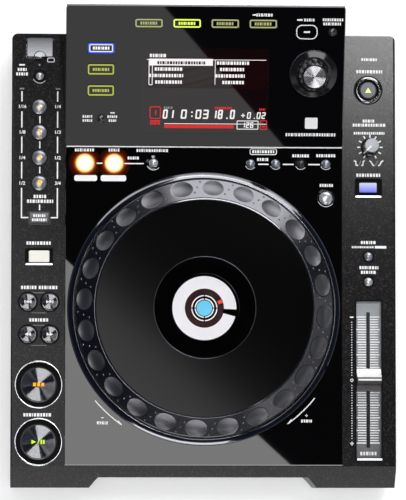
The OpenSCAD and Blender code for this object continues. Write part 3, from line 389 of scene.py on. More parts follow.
# The ring's top falls outwards ever steeper, from 8 to 72 degrees. Its inner wall stands in a dark gap.
RING_IN, RING_CREST, RING_OUT, RING_FOOT = 103.05, 103.4, 108.3, 66.6
SKIRT_IN = RING_OUT - 2.8
GAP_TOP = 73.9
jog_middle = (0, JOG_Y, 0)
way = np.linspace(0, 1, 26)
steep = np.tan(np.radians(np.interp(way, [0, 0.1, 0.84, 1], [8, 29, 39, 72])))
steps = (steep[1:] + steep[:-1]) / 2 * np.diff(way)
fall = np.concatenate([[0], np.cumsum(steps)]) * (RING_OUT - RING_CREST)
RING_TOP = PANEL_Z + fall[-1]
section = [(RING_IN, RING_FOOT), (RING_IN, RING_TOP - 0.5), (RING_IN + 0.15, RING_TOP - 0.12)]
section += list(zip(RING_CREST + (RING_OUT - RING_CREST) * way, RING_TOP - fall))
section += [(SKIRT_IN, PANEL_Z), (SKIRT_IN, RING_FOOT)]
moulding = revolve(section, 256, ring=True)
ring = add("ring_moulding", ring_finish, moulding, jog_middle, smooth=True)
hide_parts("jog_ring")
# The near-black lining in the gap under the ring's inner wall is painted shade. The same black is painted
# shade in the wells and round the keys below.
painted_shade = Finish("painted_shade_black", Specular_IOR_Level=0.1).grain((0.001, 0.001, 0.001), 0.6, 300.0)
liner = flat_ring(RING_IN - 0.25, RING_IN - 0.02, RING_FOOT, GAP_TOP, 256)
add("ring_gap_shade", painted_shade, liner, jog_middle)

# The dial: its band slopes outwards, and 24 long dimples are sunk in the band.
DIMPLES, FIRST_DIMPLE, DIMPLE_R, DIAL_COLUMNS = 24, 11.0, 95.0, 1200
DIMPLE_L, DIMPLE_W, DIMPLE_DEPTH = 17.4, 14.2, 1.5
BAND_TOP, BAND_END = (86.75, 85.69), (101.6, 77.6)
BAND_SLOPE = math.atan2(BAND_TOP[1] - BAND_END[1], BAND_END[0] - BAND_TOP[0])


def dimpled_band(points):
    """Sinks points of the band by depth (1 - q), where q = (2 t / length)^2 + (2 s / width)^2 is under 1:
    t runs along the band and s up its slope from the nearest dimple. Gives the points and 1 - q."""
    x, y, z = points.T
    r, step = np.hypot(x, y), 2 * math.pi / DIMPLES
    off = (np.arctan2(y, x) - math.radians(FIRST_DIMPLE) + step / 2) % step - step / 2
    q = (2 * r * off / DIMPLE_L) ** 2 + (2 * (r - DIMPLE_R) / math.cos(BAND_SLOPE) / DIMPLE_W) ** 2
    share = np.clip(1 - q, 0, 1) * (z > BAND_END[1] - 1)
    return np.column_stack([x, y, z - share * DIMPLE_DEPTH]), share


rows = np.linspace(0, 1, 30)[:, None]
band = np.array(BAND_TOP) * (1 - rows) + np.array(BAND_END) * rows
hub_and_seat = [(28, 53.85), (28, 72.5), (80.2, 72.5), (80.2, 82.7), (86.6, 82.7), (86.6, 85.6)]
skirt_and_web = [(101.7, 77.5), (102.25, 76.7), (102.3, 76.5), (102.3, 64.5), (97.5, 64.5), (97.5, 73),
                 (82.6, 79.5), (82.6, 70), (33, 70), (33, 53.85)]
points, faces = revolve(hub_and_seat + band.tolist() + skirt_and_web, DIAL_COLUMNS, ring=True)
points, share = dimpled_band(points)
dial_finish = Finish("jog_dial_satin", metallic=1.0)
dish = (dial_finish.node("Attribute", out=2, attribute_name="dish") * 8.0).clamp()
speck = dial_finish.noise(700.0, 3.0)
land = dial_finish.mix(speck, (0.098, 0.098, 0.107), (0.108, 0.108, 0.117))
hollow = dial_finish.mix(speck, (0.105, 0.105, 0.114), (0.115, 0.115, 0.124))
dial_finish.set(Base_Color=dial_finish.mix(dish, land, hollow), Roughness=dish * 0.18 + speck * 0.05 + 0.2)
dial = mesh_piece("dial_casting", dial_finish, (points + jog_middle) * MM, faces, "jog_dial")
dial.data.attributes.new("dish", "FLOAT", "POINT").data.foreach_set("value", share)
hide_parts("jog_dial")

# The window's underside has a black printed border round the display, and its edge a narrow bezel.
WINDOW_FOOT, WINDOW_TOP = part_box("jog_window")[0][2] / MM, spot("jog_window")[2]
window_foot, window_top = (0, JOG_Y, WINDOW_FOOT), (0, JOG_Y, WINDOW_TOP)
add("window_border", lamp_ground, flat_ring(27.2, 41.8, -0.12, -0.02), window_foot, "jog_plate")
bezel = flat_ring(40.4, 42.3, -0.02, 0.08, 256)
add("window_bezel", plate_finish, bezel, window_top, "jog_plate")

# Three small pearls stand between each two dimples, and thin polished lines run round the plate.
PEARL_RADII, PEARL_LEAD = (91.3, 95.6, 99.9), 1.5     # the row of three leans 1.5 degrees for each pearl
pearls = []
for number in range(DIMPLES):
    for step, radius in enumerate(PEARL_RADII):
        angle = math.radians(FIRST_DIMPLE + 360 / DIMPLES * (number + 0.5) - (step - 1) * PEARL_LEAD)
        points, faces = pearl(0.8, 0.55)
        lean = np.array(Matrix.Rotation(angle, 3, "Z") @ Matrix.Rotation(BAND_SLOPE, 3, "Y"))
        height = BAND_TOP[1] - (radius - BAND_TOP[0]) * math.tan(BAND_SLOPE)
        foot = (radius * math.cos(angle), radius * math.sin(angle) + JOG_Y, height)
        pearls.append((points @ lean.T + foot, faces))
pearl_finish = Finish("dial_pearls", metallic=0.9).grain((0.16, 0.16, 0.17), 0.15, 600.0)
add("dial_pearls", pearl_finish, pearls, body="jog_dial", smooth=True)
# Bright polished metal is the chrome of the cue and play collars, and also a painted highlight on the black
# edges of key wells.
chrome_and_lip_highlight = Finish("polished_trim_and_lip_highlight", metallic=1.0).grain((0.6, 0.61, 0.64), 0.12, 300.0, 0.04, 0.06)
line_metal = Finish("smoked_metal", metallic=1.0).grain((0.22, 0.225, 0.24), 0.12, 300.0)
dim_metal = Finish("dark_metal", metallic=1.0).grain((0.07, 0.07, 0.085), 0.2, 300.0)
rim = revolve([(85.3, 85.9), (85.38, 86.03), (86.28, 85.5), (86.28, 84.8)], 256, ring=True)
add("plate_rim_line", line_metal, rim, jog_middle, "jog_plate")
rim = half_round(40.2, 0.5, 0.2)
add("window_rim_line", dim_metal, rim, window_top, "jog_plate", smooth=True)


# ---- jog display ----
# A round lit display lies under the window: a white position ring with a gap, a dark red ring with its
# marker, two thin white rings with a cross, and a blue disc in the middle.
def lit(name, color, strength=1.0, ground=0.25):
    """A lit surface whose light is nearly even."""
    unlit = tuple(c * ground for c in color)
    made = Finish(name, unlit, 0.4, Emission_Strength=strength, Specular_IOR_Level=0.1)
    return made.set(Emission_Color=made.mix(made.noise(900.0, 1.0), tuple(c * 0.92 for c in color), color))


def bar_ends(points):
    """The two end faces of a bar whose section has four corners."""
    last = len(points) - 1
    return [[0, 1, 2, 3], [last, last - 1, last - 2, last - 3]]


def arc_plate(inner, outer, start, end, low=0.0, high=0.12, steps=96):
    """A flat sector of a ring from start to end, in degrees: (r cos a, r sin a) for each corner's radius."""
    a = np.radians(np.linspace(start, end, steps))[:, None]
    r, h = np.array([[outer, outer, inner, inner]]), np.array([low, high, high, low])
    points = np.stack([r * np.cos(a), r * np.sin(a), np.broadcast_to(h, (steps, 4))], -1).reshape(-1, 3)
    return points, grid_faces(steps, 4, False, True).tolist() + bar_ends(points)


white_lit = lit("lit_white", (0.86, 0.84, 0.86))
dark_red_lit = lit("jog_lit_dark_red", (0.028, 0.008, 0.009))
marker_lit = lit("jog_marker_red", (1.0, 0.08, 0.05))
blue_lit = lit("jog_lit_blue", (0.15, 0.62, 0.86))
thin_rings = [arc_plate(r - 0.45, r + 0.45, quarter + gap, quarter + 90 - gap, 0, 0.15, 24)
              for r, gap in ((9.9, 2.6), (7.2, 3.6)) for quarter in (0, 90, 180, 270)]
blue_disc = revolve([(0, 0.12), (6.1, 0.12), (6.1, 0), (0, 0)], 64)
for name, finish, parts in (("jog_position_ring", white_lit, arc_plate(15.5, 25.3, -2, 345)),
                            ("jog_red_ring", dark_red_lit, flat_ring(11.2, 15.3, 0, 0.1)),
                            ("jog_marker", marker_lit, arc_plate(11.6, 15.0, 16, 28, 0.05, 0.2, 8)),
                            ("jog_thin_rings", white_lit, thin_rings),
                            ("jog_blue_disc", blue_lit, blue_disc)):
    add(name, finish, parts, (0, JOG_Y, spot("jog_display")[2]))

# ---- transport and search keys ----
# The caps are spun aluminium, turned in fine circular grooves, so a lamp shows in them as a bow tie.
# Cue and play sit in chromed collars in deep black wells. Their marks are lit, the search keys' are white.
SEARCH_R, TRANSPORT_R, CAP_EDGE, CONE = 6.9, 13.7, 0.6, 0.03
SEARCH_KEYS = ("track_back", "track_forward", "search_back", "search_forward")


def key(name):
    """Middle and top of a key, by its short name."""
    return spot(name + "_button")


def spun_face(key_radius, radius, groove, tilt, slope=CONE, hollow=0.3):
    """A hollow cone turned in V grooves: the cone's height plus a zigzag of the groove's width and tilt."""
    r = hollow + np.arange(int((radius - hollow) / groove) * 2 + 1) * groove / 2
    zigzag = (np.arange(len(r)) % 2) * groove / 2 * math.tan(math.radians(tilt))
    h = 0.02 - slope * (key_radius - CAP_EDGE - r) + zigzag
    return revolve([(0, h[0])] + list(zip(r, h)) + [(r[-1], h[0] - 0.5), (0, h[0] - 0.5)])


def prism(outline, low=-0.02, high=0.05):
    """A closed slab over an outline that runs anticlockwise, from the level low to the level high."""
    outline = np.asarray(outline, float)
    i = np.arange(len(outline))
    j, n = (i + 1) % len(i), len(i)
    points = np.vstack([np.column_stack([outline, np.full(n, height)]) for height in (low, high)])
    return points, [i[::-1].tolist(), (i + n).tolist()] + np.column_stack([i, j, j + n, i + n]).tolist()


def block(x, y, w, h, low=-0.02, high=0.05, lean=0.0):
    """A slab w by h round x, y, leaning to the right by lean for each millimetre up."""
    s = lean * h / 2
    return prism([(x - w / 2 - s, y - h / 2), (x + w / 2 - s, y - h / 2), (x + w / 2 + s, y + h / 2),
                  (x - w / 2 + s, y + h / 2)], low, high)


def arrow(x, w, h, low, high):
    """A triangle that points to the right, or to the left where w is negative."""
    tip = [(x - w / 2, -h / 2), (x + w / 2, 0), (x - w / 2, h / 2)]
    return prism(tip if w > 0 else tip[::-1], low, high)


def symbol(kind, way, low):
    """The marks on a key, which point along way."""
    high = low + (0.5 if kind in ("track", "search") else 0.7)
    if kind == "cue":
        return [block(x, 0, 2.1, 2.7, low, high) for x in (-3.2, 0, 3.2)]
    if kind == "play":
        return ([arrow(-3.6, 3.4, 3.3, low, high), block(0, 0, 0.5, 3.6, low, high, 0.35)]
                + [block(x, 0, 1.1, 3.1, low, high) for x in (2.3, 4.2)])
    if kind == "search":
        return [arrow(way * x, way * 2.5, 2.7, low, high) for x in (-1.2, 1.2)]
    arrows = [arrow(way * x, way * 2.3, 2.7, low, high) for x in (-1.6, 0.7)]
    return arrows + [block(way * 2.4, 0, 0.7, 2.7, low, high)]


spun_finish = Finish("spun_aluminium", metallic=1.0).grain((0.23, 0.23, 0.24), 0.14, 800.0, 0.06, 0.05)
skirt_finish = Finish("key_skirt_black").grain((0.004, 0.004, 0.0045), 0.14, 500.0, 0.2, 0.06)
print_finish = Finish("print_white").grain((0.82, 0.82, 0.82), 0.45, 700.0, 0.05, 0.1)
symbol_lit = {"cue": lit("lit_amber", (1.0, 0.45, 0.02)), "play": lit("lit_green", (0.62, 0.95, 0.03))}
for name in ("cue", "play") + SEARCH_KEYS:
    radius, rim = (SEARCH_R, 1.1) if name in SEARCH_KEYS else (TRANSPORT_R, 0.75)
    body = name + "_button"
    dress(skirt_finish, body)
    face = spun_face(radius, radius - rim, 0.36, 31)
    add(name + "_spun_face", spun_finish, face, key(name), body)
    way = -1 if name.endswith("back") else 1
    marks = symbol(name.split("_")[0], way, -CONE * (radius - CAP_EDGE) - 0.1)
    add(name + "_symbol", symbol_lit.get(name, print_finish), marks, key(name), body)


def collar(lip, wall, depth):
    """A ring whose top is the lip, from inside to outside, over a wall as deep as the well."""
    section = lip + [(lip[-1][0], -0.05), (wall, -0.05), (wall, -depth), (lip[0][0], -depth)]
    return revolve(section, 128, ring=True)


def on_top(name, z=DECK_Z):
    """The place above a key's middle at a level of the deck."""
    return *key(name)[:2], z


t = np.linspace(0, math.pi, 13)
round_lip = list(zip(18.325 - 0.625 * np.cos(t), 0.5 * np.sin(t)))
cone_lip = [(8.6, 0.75), (8.75, 0.97), (8.95, 1.0), (10.5, 0.1), (10.65, 0.0)]
for name, metal, lip, wall, depth, foot in (("cue", chrome_and_lip_highlight, round_lip, 17.95, 3.9, 14.2),
                                            ("play", chrome_and_lip_highlight, round_lip, 17.95, 3.9, 14.2),
                                            ("eject", line_metal, cone_lip, 9.55, 2.9, 6.9)):
    add(name + "_collar", metal, collar(lip, wall, depth), on_top(name), smooth=True)
    # A black ring on each well's floor is painted shade.
    floor_shade = flat_ring(foot, lip[0][0] - 0.05, -depth, 0.12 - depth)
    add(name + "_well_liner", painted_shade, floor_shade, on_top(name))

# Black rings of painted shade stand round the search keys and the eject collar. The eject mark is a lit
# triangle.
shade_rings = [level(flat_ring(*radii, -0.05, 0.08, 96), *on_top(name))
           for name, radii in [(name, (7.0, 8.0)) for name in SEARCH_KEYS] + [("eject", (10.7, 11.6))]]
add("key_shade_rings", painted_shade, shade_rings)
eject_lit = lit("lit_pale_green", (0.9, 1.0, 0.3))
eject_mark = prism([(-2.5, -2.0), (2.5, -2.0), (0, 2.0)], -0.1, 0.12)
add("eject_symbol", eject_lit, eject_mark, key("eject"), "eject_button")

# ---- small round keys ----
# Moulded plastic domes, painted satin silver, pearl grey or blue grey, or left black.
# Each stands in a shallow dish, or in a black ring of painted shade.
KEY_EDGE = 0.45
BEATS = (1, 2, 4, 8)


def dome(radius, height, foot=0.5, rings=8):
    """A crowned cap: its height falls from the middle as the square of the way out."""
    r = np.linspace(0, radius, rings + 1)
    crown = list(zip(r, height * (1 - (r / radius) ** 2) + 0.02))
    return revolve(crown + [(radius, -foot), (0, -foot)], 48)


silver_finish = Finish("key_blue_silver", metallic=0.8).grain((0.3, 0.305, 0.33), 0.3, 700.0, 0.06)
pearl_grey = Finish("key_pearl_grey", metallic=0.6).grain((0.5, 0.51, 0.53), 0.25, 700.0, 0.05)
blue_grey = Finish("key_grey_blue", metallic=0.7).grain((0.3, 0.32, 0.36), 0.22, 700.0)
dark_key = Finish("key_dark", Coat_Weight=0.5).grain((0.012, 0.012, 0.013), 0.2, 700.0)
eject_grey = Finish("key_eject_grey", metallic=0.3).grain((0.1, 0.105, 0.115), 0.4, 500.0)
dress(eject_grey, "eject_button")
blue_keys = dict.fromkeys(("call_back", "call_forward", "memory", "tempo_range"), 3.2)
for finish, slot, crown, keys in (
        (silver_finish, "key_metal", 1.2, {"beat_loop_%d" % beats: 5.7 for beats in BEATS}),
        (pearl_grey, "pale_knob", 1.1, {"usb_stop": 3.0, "slip": 5.0, "reloop": 3.2, "master_tempo": 3.2}),
        (blue_grey, "blue_key", 1.1, blue_keys), (dark_key, "gloss_key", 1.1, {"delete": 2.9})):
    for name, radius in keys.items():
        dress(finish, name + "_button")
        at = on_top(name, key(name)[2] - radius * 0.1)
        add(name + "_dome", finish, dome(radius - KEY_EDGE, crown), at, name + "_button", smooth=True)

# Black rings of painted shade stand round the keys of the strips, and pale crescents at the front of each
# dish are painted highlights.
shade_ring_radii = {"beat_loop_%d" % beats: (5.8, 6.5) for beats in BEATS}
shade_ring_radii.update(usb_stop=(3.1, 5.3), tempo_range=(3.4, 5.0), master_tempo=(3.4, 5.0))
shade_rings = [level(flat_ring(*radii, -0.05, 0.08, 64), *on_top(name)) for name, radii in shade_ring_radii.items()]
add("round_key_shade_rings", painted_shade, shade_rings)
dish_highlight = Finish("dish_crescent_highlight", metallic=0.3).grain((0.3, 0.3, 0.32), 0.35, 500.0)
dishes = [("usb_stop", 5.3, DECK_Z), ("reloop", 5.3, PANEL_Z)]
dishes += [(name, 4.2, PANEL_Z) for name in ("call_back", "call_forward", "delete", "memory")]
dishes.append(("slip", 6.6, PANEL_Z))
crescents = [level(arc_plate(r, r + 0.55, 205, 320, -0.05, 0.1, 24), *on_top(name, z))
             for name, r, z in dishes]
add("dish_crescents", dish_highlight, crescents)


# The beat keys carry plain numbers, lit from behind.
def numerals(text, height, depth=0.12, width=None):
    """Plain numbers from the built-in typeface, height millimetres high: a closed mesh round its middle."""
    curve = bpy.data.curves.new("numerals", "FONT")
    curve.body, curve.extrude, curve.resolution_u, curve.offset = text, 0.5, 3, 0.02
    holder = bpy.data.objects.new("numerals", curve)
    solid = bmesh.new()
    solid.from_mesh(holder.to_mesh())
    bmesh.ops.remove_doubles(solid, verts=solid.verts, dist=1e-5)
    points = np.array([vert.co[:] for vert in solid.verts])
    faces = [[vert.index for vert in face.verts] for face in solid.faces]
    solid.free()
    holder.to_mesh_clear()
    bpy.data.objects.remove(holder)
    low, high = points.min(0), points.max(0)
    scale = height / (high[1] - low[1])
    across = width / (high[0] - low[0]) if width else scale
    return (points - (low + high) / 2) * (across, scale, depth), faces


beat_lit = lit("lit_beat_number", (1.0, 0.58, 0.05))
for beats in BEATS:
    name = "beat_loop_%d" % beats
    at = on_top(name, key(name)[2] + 0.6)
    add(name + "_number", beat_lit, numerals(str(beats), 4.6, 0.5), at, name + "_button")


# ---- lit loop keys ----
# Clear plastic caps with a lamp below, white-hot in the middle and orange to the rim.
# Their light also colours a dark red ring of the panel round each.
def glow_finish(name, x, y, radius, stops):
    """A lit cap whose colour runs over the distance from its middle, as a share of its radius."""
    made = Finish(name, (0.3, 0.12, 0.03), Emission_Strength=1.0)
    across, along, up = made.axes()
    flat = made.node("CombineXYZ", {0: across - x * MM, 1: along - y * MM})
    way = made.node("VectorMath", {0: flat}, 1, operation="LENGTH") * (1 / (radius * MM))
    return made.set(Emission_Color=made.node("ValToRGB", {0: way}, stops=stops),
                    Roughness=made.noise(300.0) * 0.1 + 0.2)


HOT = [(0.0, (1.0, 0.98, 0.9)), (0.7, (1.0, 0.97, 0.8)), (0.82, (1.0, 0.7, 0.2)), (0.93, (0.9, 0.4, 0.05)),
       (1.0, (0.3, 0.06, 0.01))]
HALO = [(0.0, (0.3, 0.06, 0.01)), (0.62, (0.25, 0.04, 0.005)), (0.75, (0.05, 0.004, 0.0)),
        (1.0, (0.015, 0.001, 0.0))]
HOT_R, HALO_IN, HALO_R = 7.5, 8.1, 13.0
for name in ("loop_in", "loop_out"):
    x, y, top = key(name)
    dress(glow_finish(name + "_lit", x, y, HOT_R, HOT), name + "_button")
    halo = glow_finish(name + "_halo_lit", x, y, HALO_R, HALO)
    halo.set(Base_Color=(0.001, 0.001, 0.001), Roughness=halo.noise(7.0) * 0.012 + 0.006)
    halo.set(Specular_IOR_Level=GLOSS)
    add(name + "_halo", halo, flat_ring(HALO_IN, HALO_R, -0.02, 0.03), (x, y, PANEL_Z))

# ---- bar keys ----
# Square caps of milky plastic stand in dished wells, whose lower edge is a bevel of bright metal, a painted
# highlight on an edge that is black paint.
# The loop key's cap is smoked, and has a gasket round it.
BAR_HALF = 4.0


def bar_share(finish, name):
    """How far a point lies from the front edge of a bar key to its back edge, from 0 to 1."""
    return finish.back(key(name)[1] - BAR_HALF, key(name)[1] + BAR_HALF)


milky = Finish("bar_key_milky", Emission_Strength=0.3).grain((0.5, 0.49, 0.45), 0.35, 500.0, 0.06)
milky.set(Emission_Color=milky.mix(milky.noise(60.0), (0.9, 0.87, 0.76), (1.0, 0.98, 0.9)))
dress(milky, "direction_button")
blue_milky = Finish("bar_key_blue", Emission_Strength=0.8, Specular_IOR_Level=0.2)
blue_milky.grain((0.08, 0.08, 0.12), 0.35, 500.0, 0.06)
share = bar_share(blue_milky, "jog_mode")
blue_milky.set(Emission_Color=blue_milky.mix(share, (0.04, 0.07, 0.9), (0.75, 0.78, 0.95)))
dress(blue_milky, "jog_mode_button")
# The smoked cap is painted darker in front and lighter behind: a painted sheen.
smoked = Finish("bar_key_smoked_with_sheen", metallic=0.4)
share = bar_share(smoked, "loop_select")
smoked.set(Base_Color=smoked.mix(share, (0.012, 0.012, 0.014), (0.09, 0.09, 0.1)),
           Roughness=smoked.noise(500.0) * 0.1 + 0.22)
dress(smoked, "loop_select_button")


def round_rect(x, y, w, l, r, steps=6):
    """An anticlockwise outline: a quarter circle of radius r round each corner's middle."""
    a = np.linspace(0, math.pi / 2, steps)
    turns = [(1, 1, 0), (-1, 1, 1), (-1, -1, 2), (1, -1, 3)]
    return np.concatenate([np.column_stack([x + sx * (w / 2 - r) + r * np.cos(a + q * math.pi / 2),
                                            y + sy * (l / 2 - r) + r * np.sin(a + q * math.pi / 2)])
                           for sx, sy, q in turns])


def stroke(path, width, low=-0.02, high=0.05, closed=False):
    """A flat bar along a path: each section reaches half the width to both sides, and is mitred at a bend."""
    path = np.asarray(path, float)
    before, after = np.roll(path, 1, 0), np.roll(path, -1, 0)
    if not closed:
        before[0], after[-1] = 2 * path[0] - path[1], 2 * path[-1] - path[-2]
    first, second = (s / np.linalg.norm(s, axis=1, keepdims=True) for s in (path - before, after - path))
    middle = (first + second) / np.linalg.norm(first + second, axis=1, keepdims=True)
    reach = width / 2 / np.sum(middle * first, 1, keepdims=True)
    side = np.stack([-middle[:, 1], middle[:, 0]], -1) * reach
    edges = [(path - side, low), (path - side, high), (path + side, high), (path + side, low)]
    edges = [np.column_stack([edge, np.full(len(path), height)]) for edge, height in edges]
    points = np.stack(edges, 1).reshape(-1, 3)
    ends = [] if closed else bar_ends(points)
    return points, grid_faces(len(path), 4, closed, True).tolist() + ends


def frame_line(x, y, w, l, r, width=0.75, low=-0.02, high=0.05):
    """A line round a rectangle with round corners."""
    return stroke(round_rect(x, y, w, l, r), width, low, high, closed=True)


def bevel_bar(length, run=1.4, drop=0.6):
    """A bar along x whose top falls to the back: its section in y and z is carried from end to end."""
    section = [(-run / 2, drop), (-run / 2, -0.3), (run / 2, -0.3), (run / 2, 0.0)]
    points, faces = prism(section, -length / 2, length / 2)
    return points[:, [2, 0, 1]], faces


def words(x, y, w, h, low=-0.02, high=0.05):
    """A row of small blocks in the place of a printed word: their widths follow a fixed beat."""
    beat = np.array([0.62, 0.5, 0.74, 0.3, 0.62, 0.8, 0.55]) * h
    gap, shapes, at, number = 0.26 * h, [], x - w / 2, 0
    while at < x + w / 2 - 0.3 * h:
        wide = min(beat[number % len(beat)], x + w / 2 - at)
        shapes.append(block(at + wide / 2, y, wide, h, low, high))
        at, number = at + wide + gap, number + 1
    return shapes


# The wells of two bar keys have a bevelled lip in front, in bright metal as a painted highlight, a black
# lining of painted shade on the floor and a dark edge of painted shade. A row gives the width and length of
# the well and of the key.
for name, w, l, key_w, key_l in (("direction", 22.2, 12.6, 15.7, 9.1), ("jog_mode", 21.6, 14.4, 13.2, 7.5)):
    x, y, z = on_top(name)
    add(name + "_lip", chrome_and_lip_highlight, bevel_bar(w - 1.2), (x, y - l / 2 + 0.1, z))
    line_w = (w - key_w) / 2 - 0.5
    liner = frame_line(0, 0, (w + key_w) / 2 + 0.2, (l + key_l) / 2 + 0.2, 1.5, line_w, -2.25, -2.1)
    add(name + "_well_liner", painted_shade, liner, (x, y, z))
    edge = frame_line(0, 0, w - 0.6, l - 0.6, 1.5, 0.8, -0.1, 0.1)
    add(name + "_well_edge", painted_shade, edge, (x, y, z))
gasket = frame_line(0, 0, 16.1, 9.8, 1.0, 1.1, -0.1, 0.25)
add("loop_select_gasket", skirt_finish, gasket, on_top("loop_select"))
two_words = words(0, 1.7, 9.5, 2.1) + words(0, -1.6, 11.5, 2.1)
add("loop_select_text", print_finish, two_words, key("loop_select"), "loop_select_button")

# ---- display keys ----
# Gloss caps set flush in the tilted panel, each with a lit frame round its edge and most with a lit word.
# Two small black domes stand beside them. Places are given across (u) and up the slope (v).
DISPLAY_Y, DISPLAY_Z, TILT = 80.415, 72.0, math.radians(17.5)
KEY_RISE = 0.7
SOURCE_U, SOURCE_SIZE = -82.4, (20.8, 8.4)
LIST_V, LIST_SIZE = 99.0, (21.7, 6.9)
LINK_V = 78.8
BACK_U, BACK_V, BACK_SIZE = 79.5, 92.8, (17.4, 12.1)


def tilted(shape, u=0.0, v=0.0, w=0.0):
    """A shape moved to u across, v up the slope and w out of it, and leaned back with the display panel."""
    points = np.asarray(shape[0], float) + (u, v, w)
    y = DISPLAY_Y + points[:, 1] * math.cos(TILT) - points[:, 2] * math.sin(TILT)
    z = DISPLAY_Z + points[:, 1] * math.sin(TILT) + points[:, 2] * math.cos(TILT)
    return np.column_stack([points[:, 0], y, z]), shape[1]


def add_to_key(name, piece, finish, shapes, u, v, smooth=False):
    """A piece on top of a display key."""
    add(piece, finish, shapes, (u, v, KEY_RISE), name + "_button", smooth, tilted)


link_lit = lit("lit_link_blue", (0.05, 0.12, 0.9))
olive_lit = lit("lit_olive", (0.4, 0.44, 0.07))
grey_olive = lit("lit_grey_olive", (0.35, 0.37, 0.16))
tag_lit = lit("lit_yellow_green", (0.75, 0.95, 0.12))
RAISED = (-0.1, 0.12)                         # the levels of the marks' foot and top over a cap
FRAME_IN = 1.3                                # how much smaller than its key a frame is
for name, u, v, (w, l), finish in (
        ("link_source", SOURCE_U, LINK_V, SOURCE_SIZE, link_lit),
        ("usb_source", SOURCE_U, 61.8, SOURCE_SIZE, olive_lit),
        ("disc_source", SOURCE_U, 44.9, SOURCE_SIZE, olive_lit),
        ("browse", -45, LIST_V, LIST_SIZE, grey_olive), ("tag_list", -15, LIST_V, LIST_SIZE, tag_lit),
        ("info", 15, LIST_V, LIST_SIZE, grey_olive), ("menu", 45, LIST_V, LIST_SIZE, grey_olive)):
    dress(gloss_finish, name + "_button")
    line = frame_line(0, 0, w - FRAME_IN, l - FRAME_IN, 1.0, 1.1, *RAISED)
    add_to_key(name, name + "_frame", finish, line, u, v)
    ink = white_lit if name == "link_source" else finish
    add_to_key(name, name + "_text", ink, words(0, 0, w * 0.62, 2.3, *RAISED), u, v)
dress(gloss_finish, "back_button")
w, l = BACK_SIZE
line = frame_line(0, 0, w - FRAME_IN, l - FRAME_IN, 4.2, 0.75, *RAISED)
add_to_key("back", "back_frame", print_finish, line, BACK_U, BACK_V)
w, l = SOURCE_SIZE
line = frame_line(0, 0, w - 3, l - 3, 0.8, 0.7, *RAISED)
add_to_key("link_source", "link_inner_frame", white_lit, line, SOURCE_U, LINK_V)
add_to_key("back", "back_dash", print_finish, block(0, 0, 5.0, 1.3, *RAISED), BACK_U, BACK_V)
for name, u, v in (("time_mode", -81.9, 22.0), ("tag_track", 99.9, 92.7)):
    dress(dark_key, name + "_button")
    add_to_key(name, name + "_dome", dark_key, dome(2.9, 0.7), u, v, smooth=True)

# ---- rotary controls ----
# The selector is gloss black. A spun face lies in its scalloped grip, and a conical skirt turns with it.
# The speed knob is black with a ribbed pale cap and a white pointer.
SELECTOR_U, SELECTOR_V, FACE_R, FACE_Z = 85.5, 59.4, 9.1, 14.25
knob_finish = Finish("knob_gloss").grain((0.006, 0.006, 0.007), 0.14, 300.0, 0.2, 0.06)
dress(knob_finish, "selector_knob", "speed_knob")
add("selector_spun_face", spun_finish, spun_face(FACE_R + 2.1, FACE_R, 0.4, 8, slope=0.02),
    (SELECTOR_U, SELECTOR_V, FACE_Z), "selector_knob", lay=tilted)
bezel = half_round(18.5, 0.7, 0.25)
bezel_foot = (SELECTOR_U, SELECTOR_V, 0.05)
add("selector_bezel_line", dim_metal, bezel, bezel_foot, smooth=True, lay=tilted)
skirt = revolve([(13.0, 4.6), (14.2, 4.7), (18.3, 1.3), (18.4, 1.1), (13.0, 1.1)], ring=True)
skirt_foot = (SELECTOR_U, SELECTOR_V, 0)
add("selector_skirt", knob_finish, skirt, skirt_foot, "selector_knob", lay=tilted)


def scalloped(radius, wave, count, low, high, steps=6):
    """A disc whose rim swings in and out as a cosine, count times round."""
    a = np.arange(count * steps) * 2 * math.pi / (count * steps)
    r = radius + wave * np.cos(a * count)
    return prism(np.column_stack([r * np.cos(a), r * np.sin(a)]), low, high)


def fin(profile, width, angle):
    """A flat fin in the upright plane at an angle: its outline is given in radius and height."""
    points, faces = prism(profile, -width / 2, width / 2)
    r, z, t = points.T
    across, along = r * math.cos(angle) + t * math.sin(angle), r * math.sin(angle) - t * math.cos(angle)
    return np.column_stack([across, along, z]), faces


SPEED_X, SPEED_Y, SPEED_TOP, SPEED_R = 132.2, 80.915, 86.5, 5.4
SCALLOPS, POINTER_AT, POINTER_W = 18, math.radians(225), 1.1
speed_top = (SPEED_X, SPEED_Y, SPEED_TOP)
pale_finish = Finish("knob_pale", metallic=0.35).grain((0.3, 0.31, 0.33), 0.4, 400.0, 0.06, 0.12)
speed_cap = [scalloped(SPEED_R, 0.22, SCALLOPS, -1.2, 0.45), level(dome(SPEED_R - 0.5, 0.25, 0.2), z=0.4)]
add("speed_knob_cap", pale_finish, speed_cap, speed_top, "speed_knob")
pointer_side = [(0.8, 0.2), (5.2, 0.2), (5.3, -4.0), (6.4, -13.2), (7.5, -13.2), (6.1, -1.0), (5.9, 0.85),
                (0.8, 0.85)]
pointer = fin(pointer_side, POINTER_W, POINTER_AT)
add("speed_knob_pointer", print_finish, pointer, speed_top, "speed_knob")

# ---- tempo fader ----
# A printed grey plate at the floor of a well, with a slot for the blade of the cap. The cap's colour is
# painted light and shade: white behind, a painted highlight, and dark in front, near its own black, with a
# thin black band of painted shade; a white line runs across its top.
FADER_X, FADER_Y, FADER_Z = spot("tempo_fader")
FADER_TRAVEL, WELL_L, WELL_W, SLOT_R = 100.0, 125.7, 21.2, 1.15
STEP = 1 / 6                                  # the width of the change between two colours of the cap
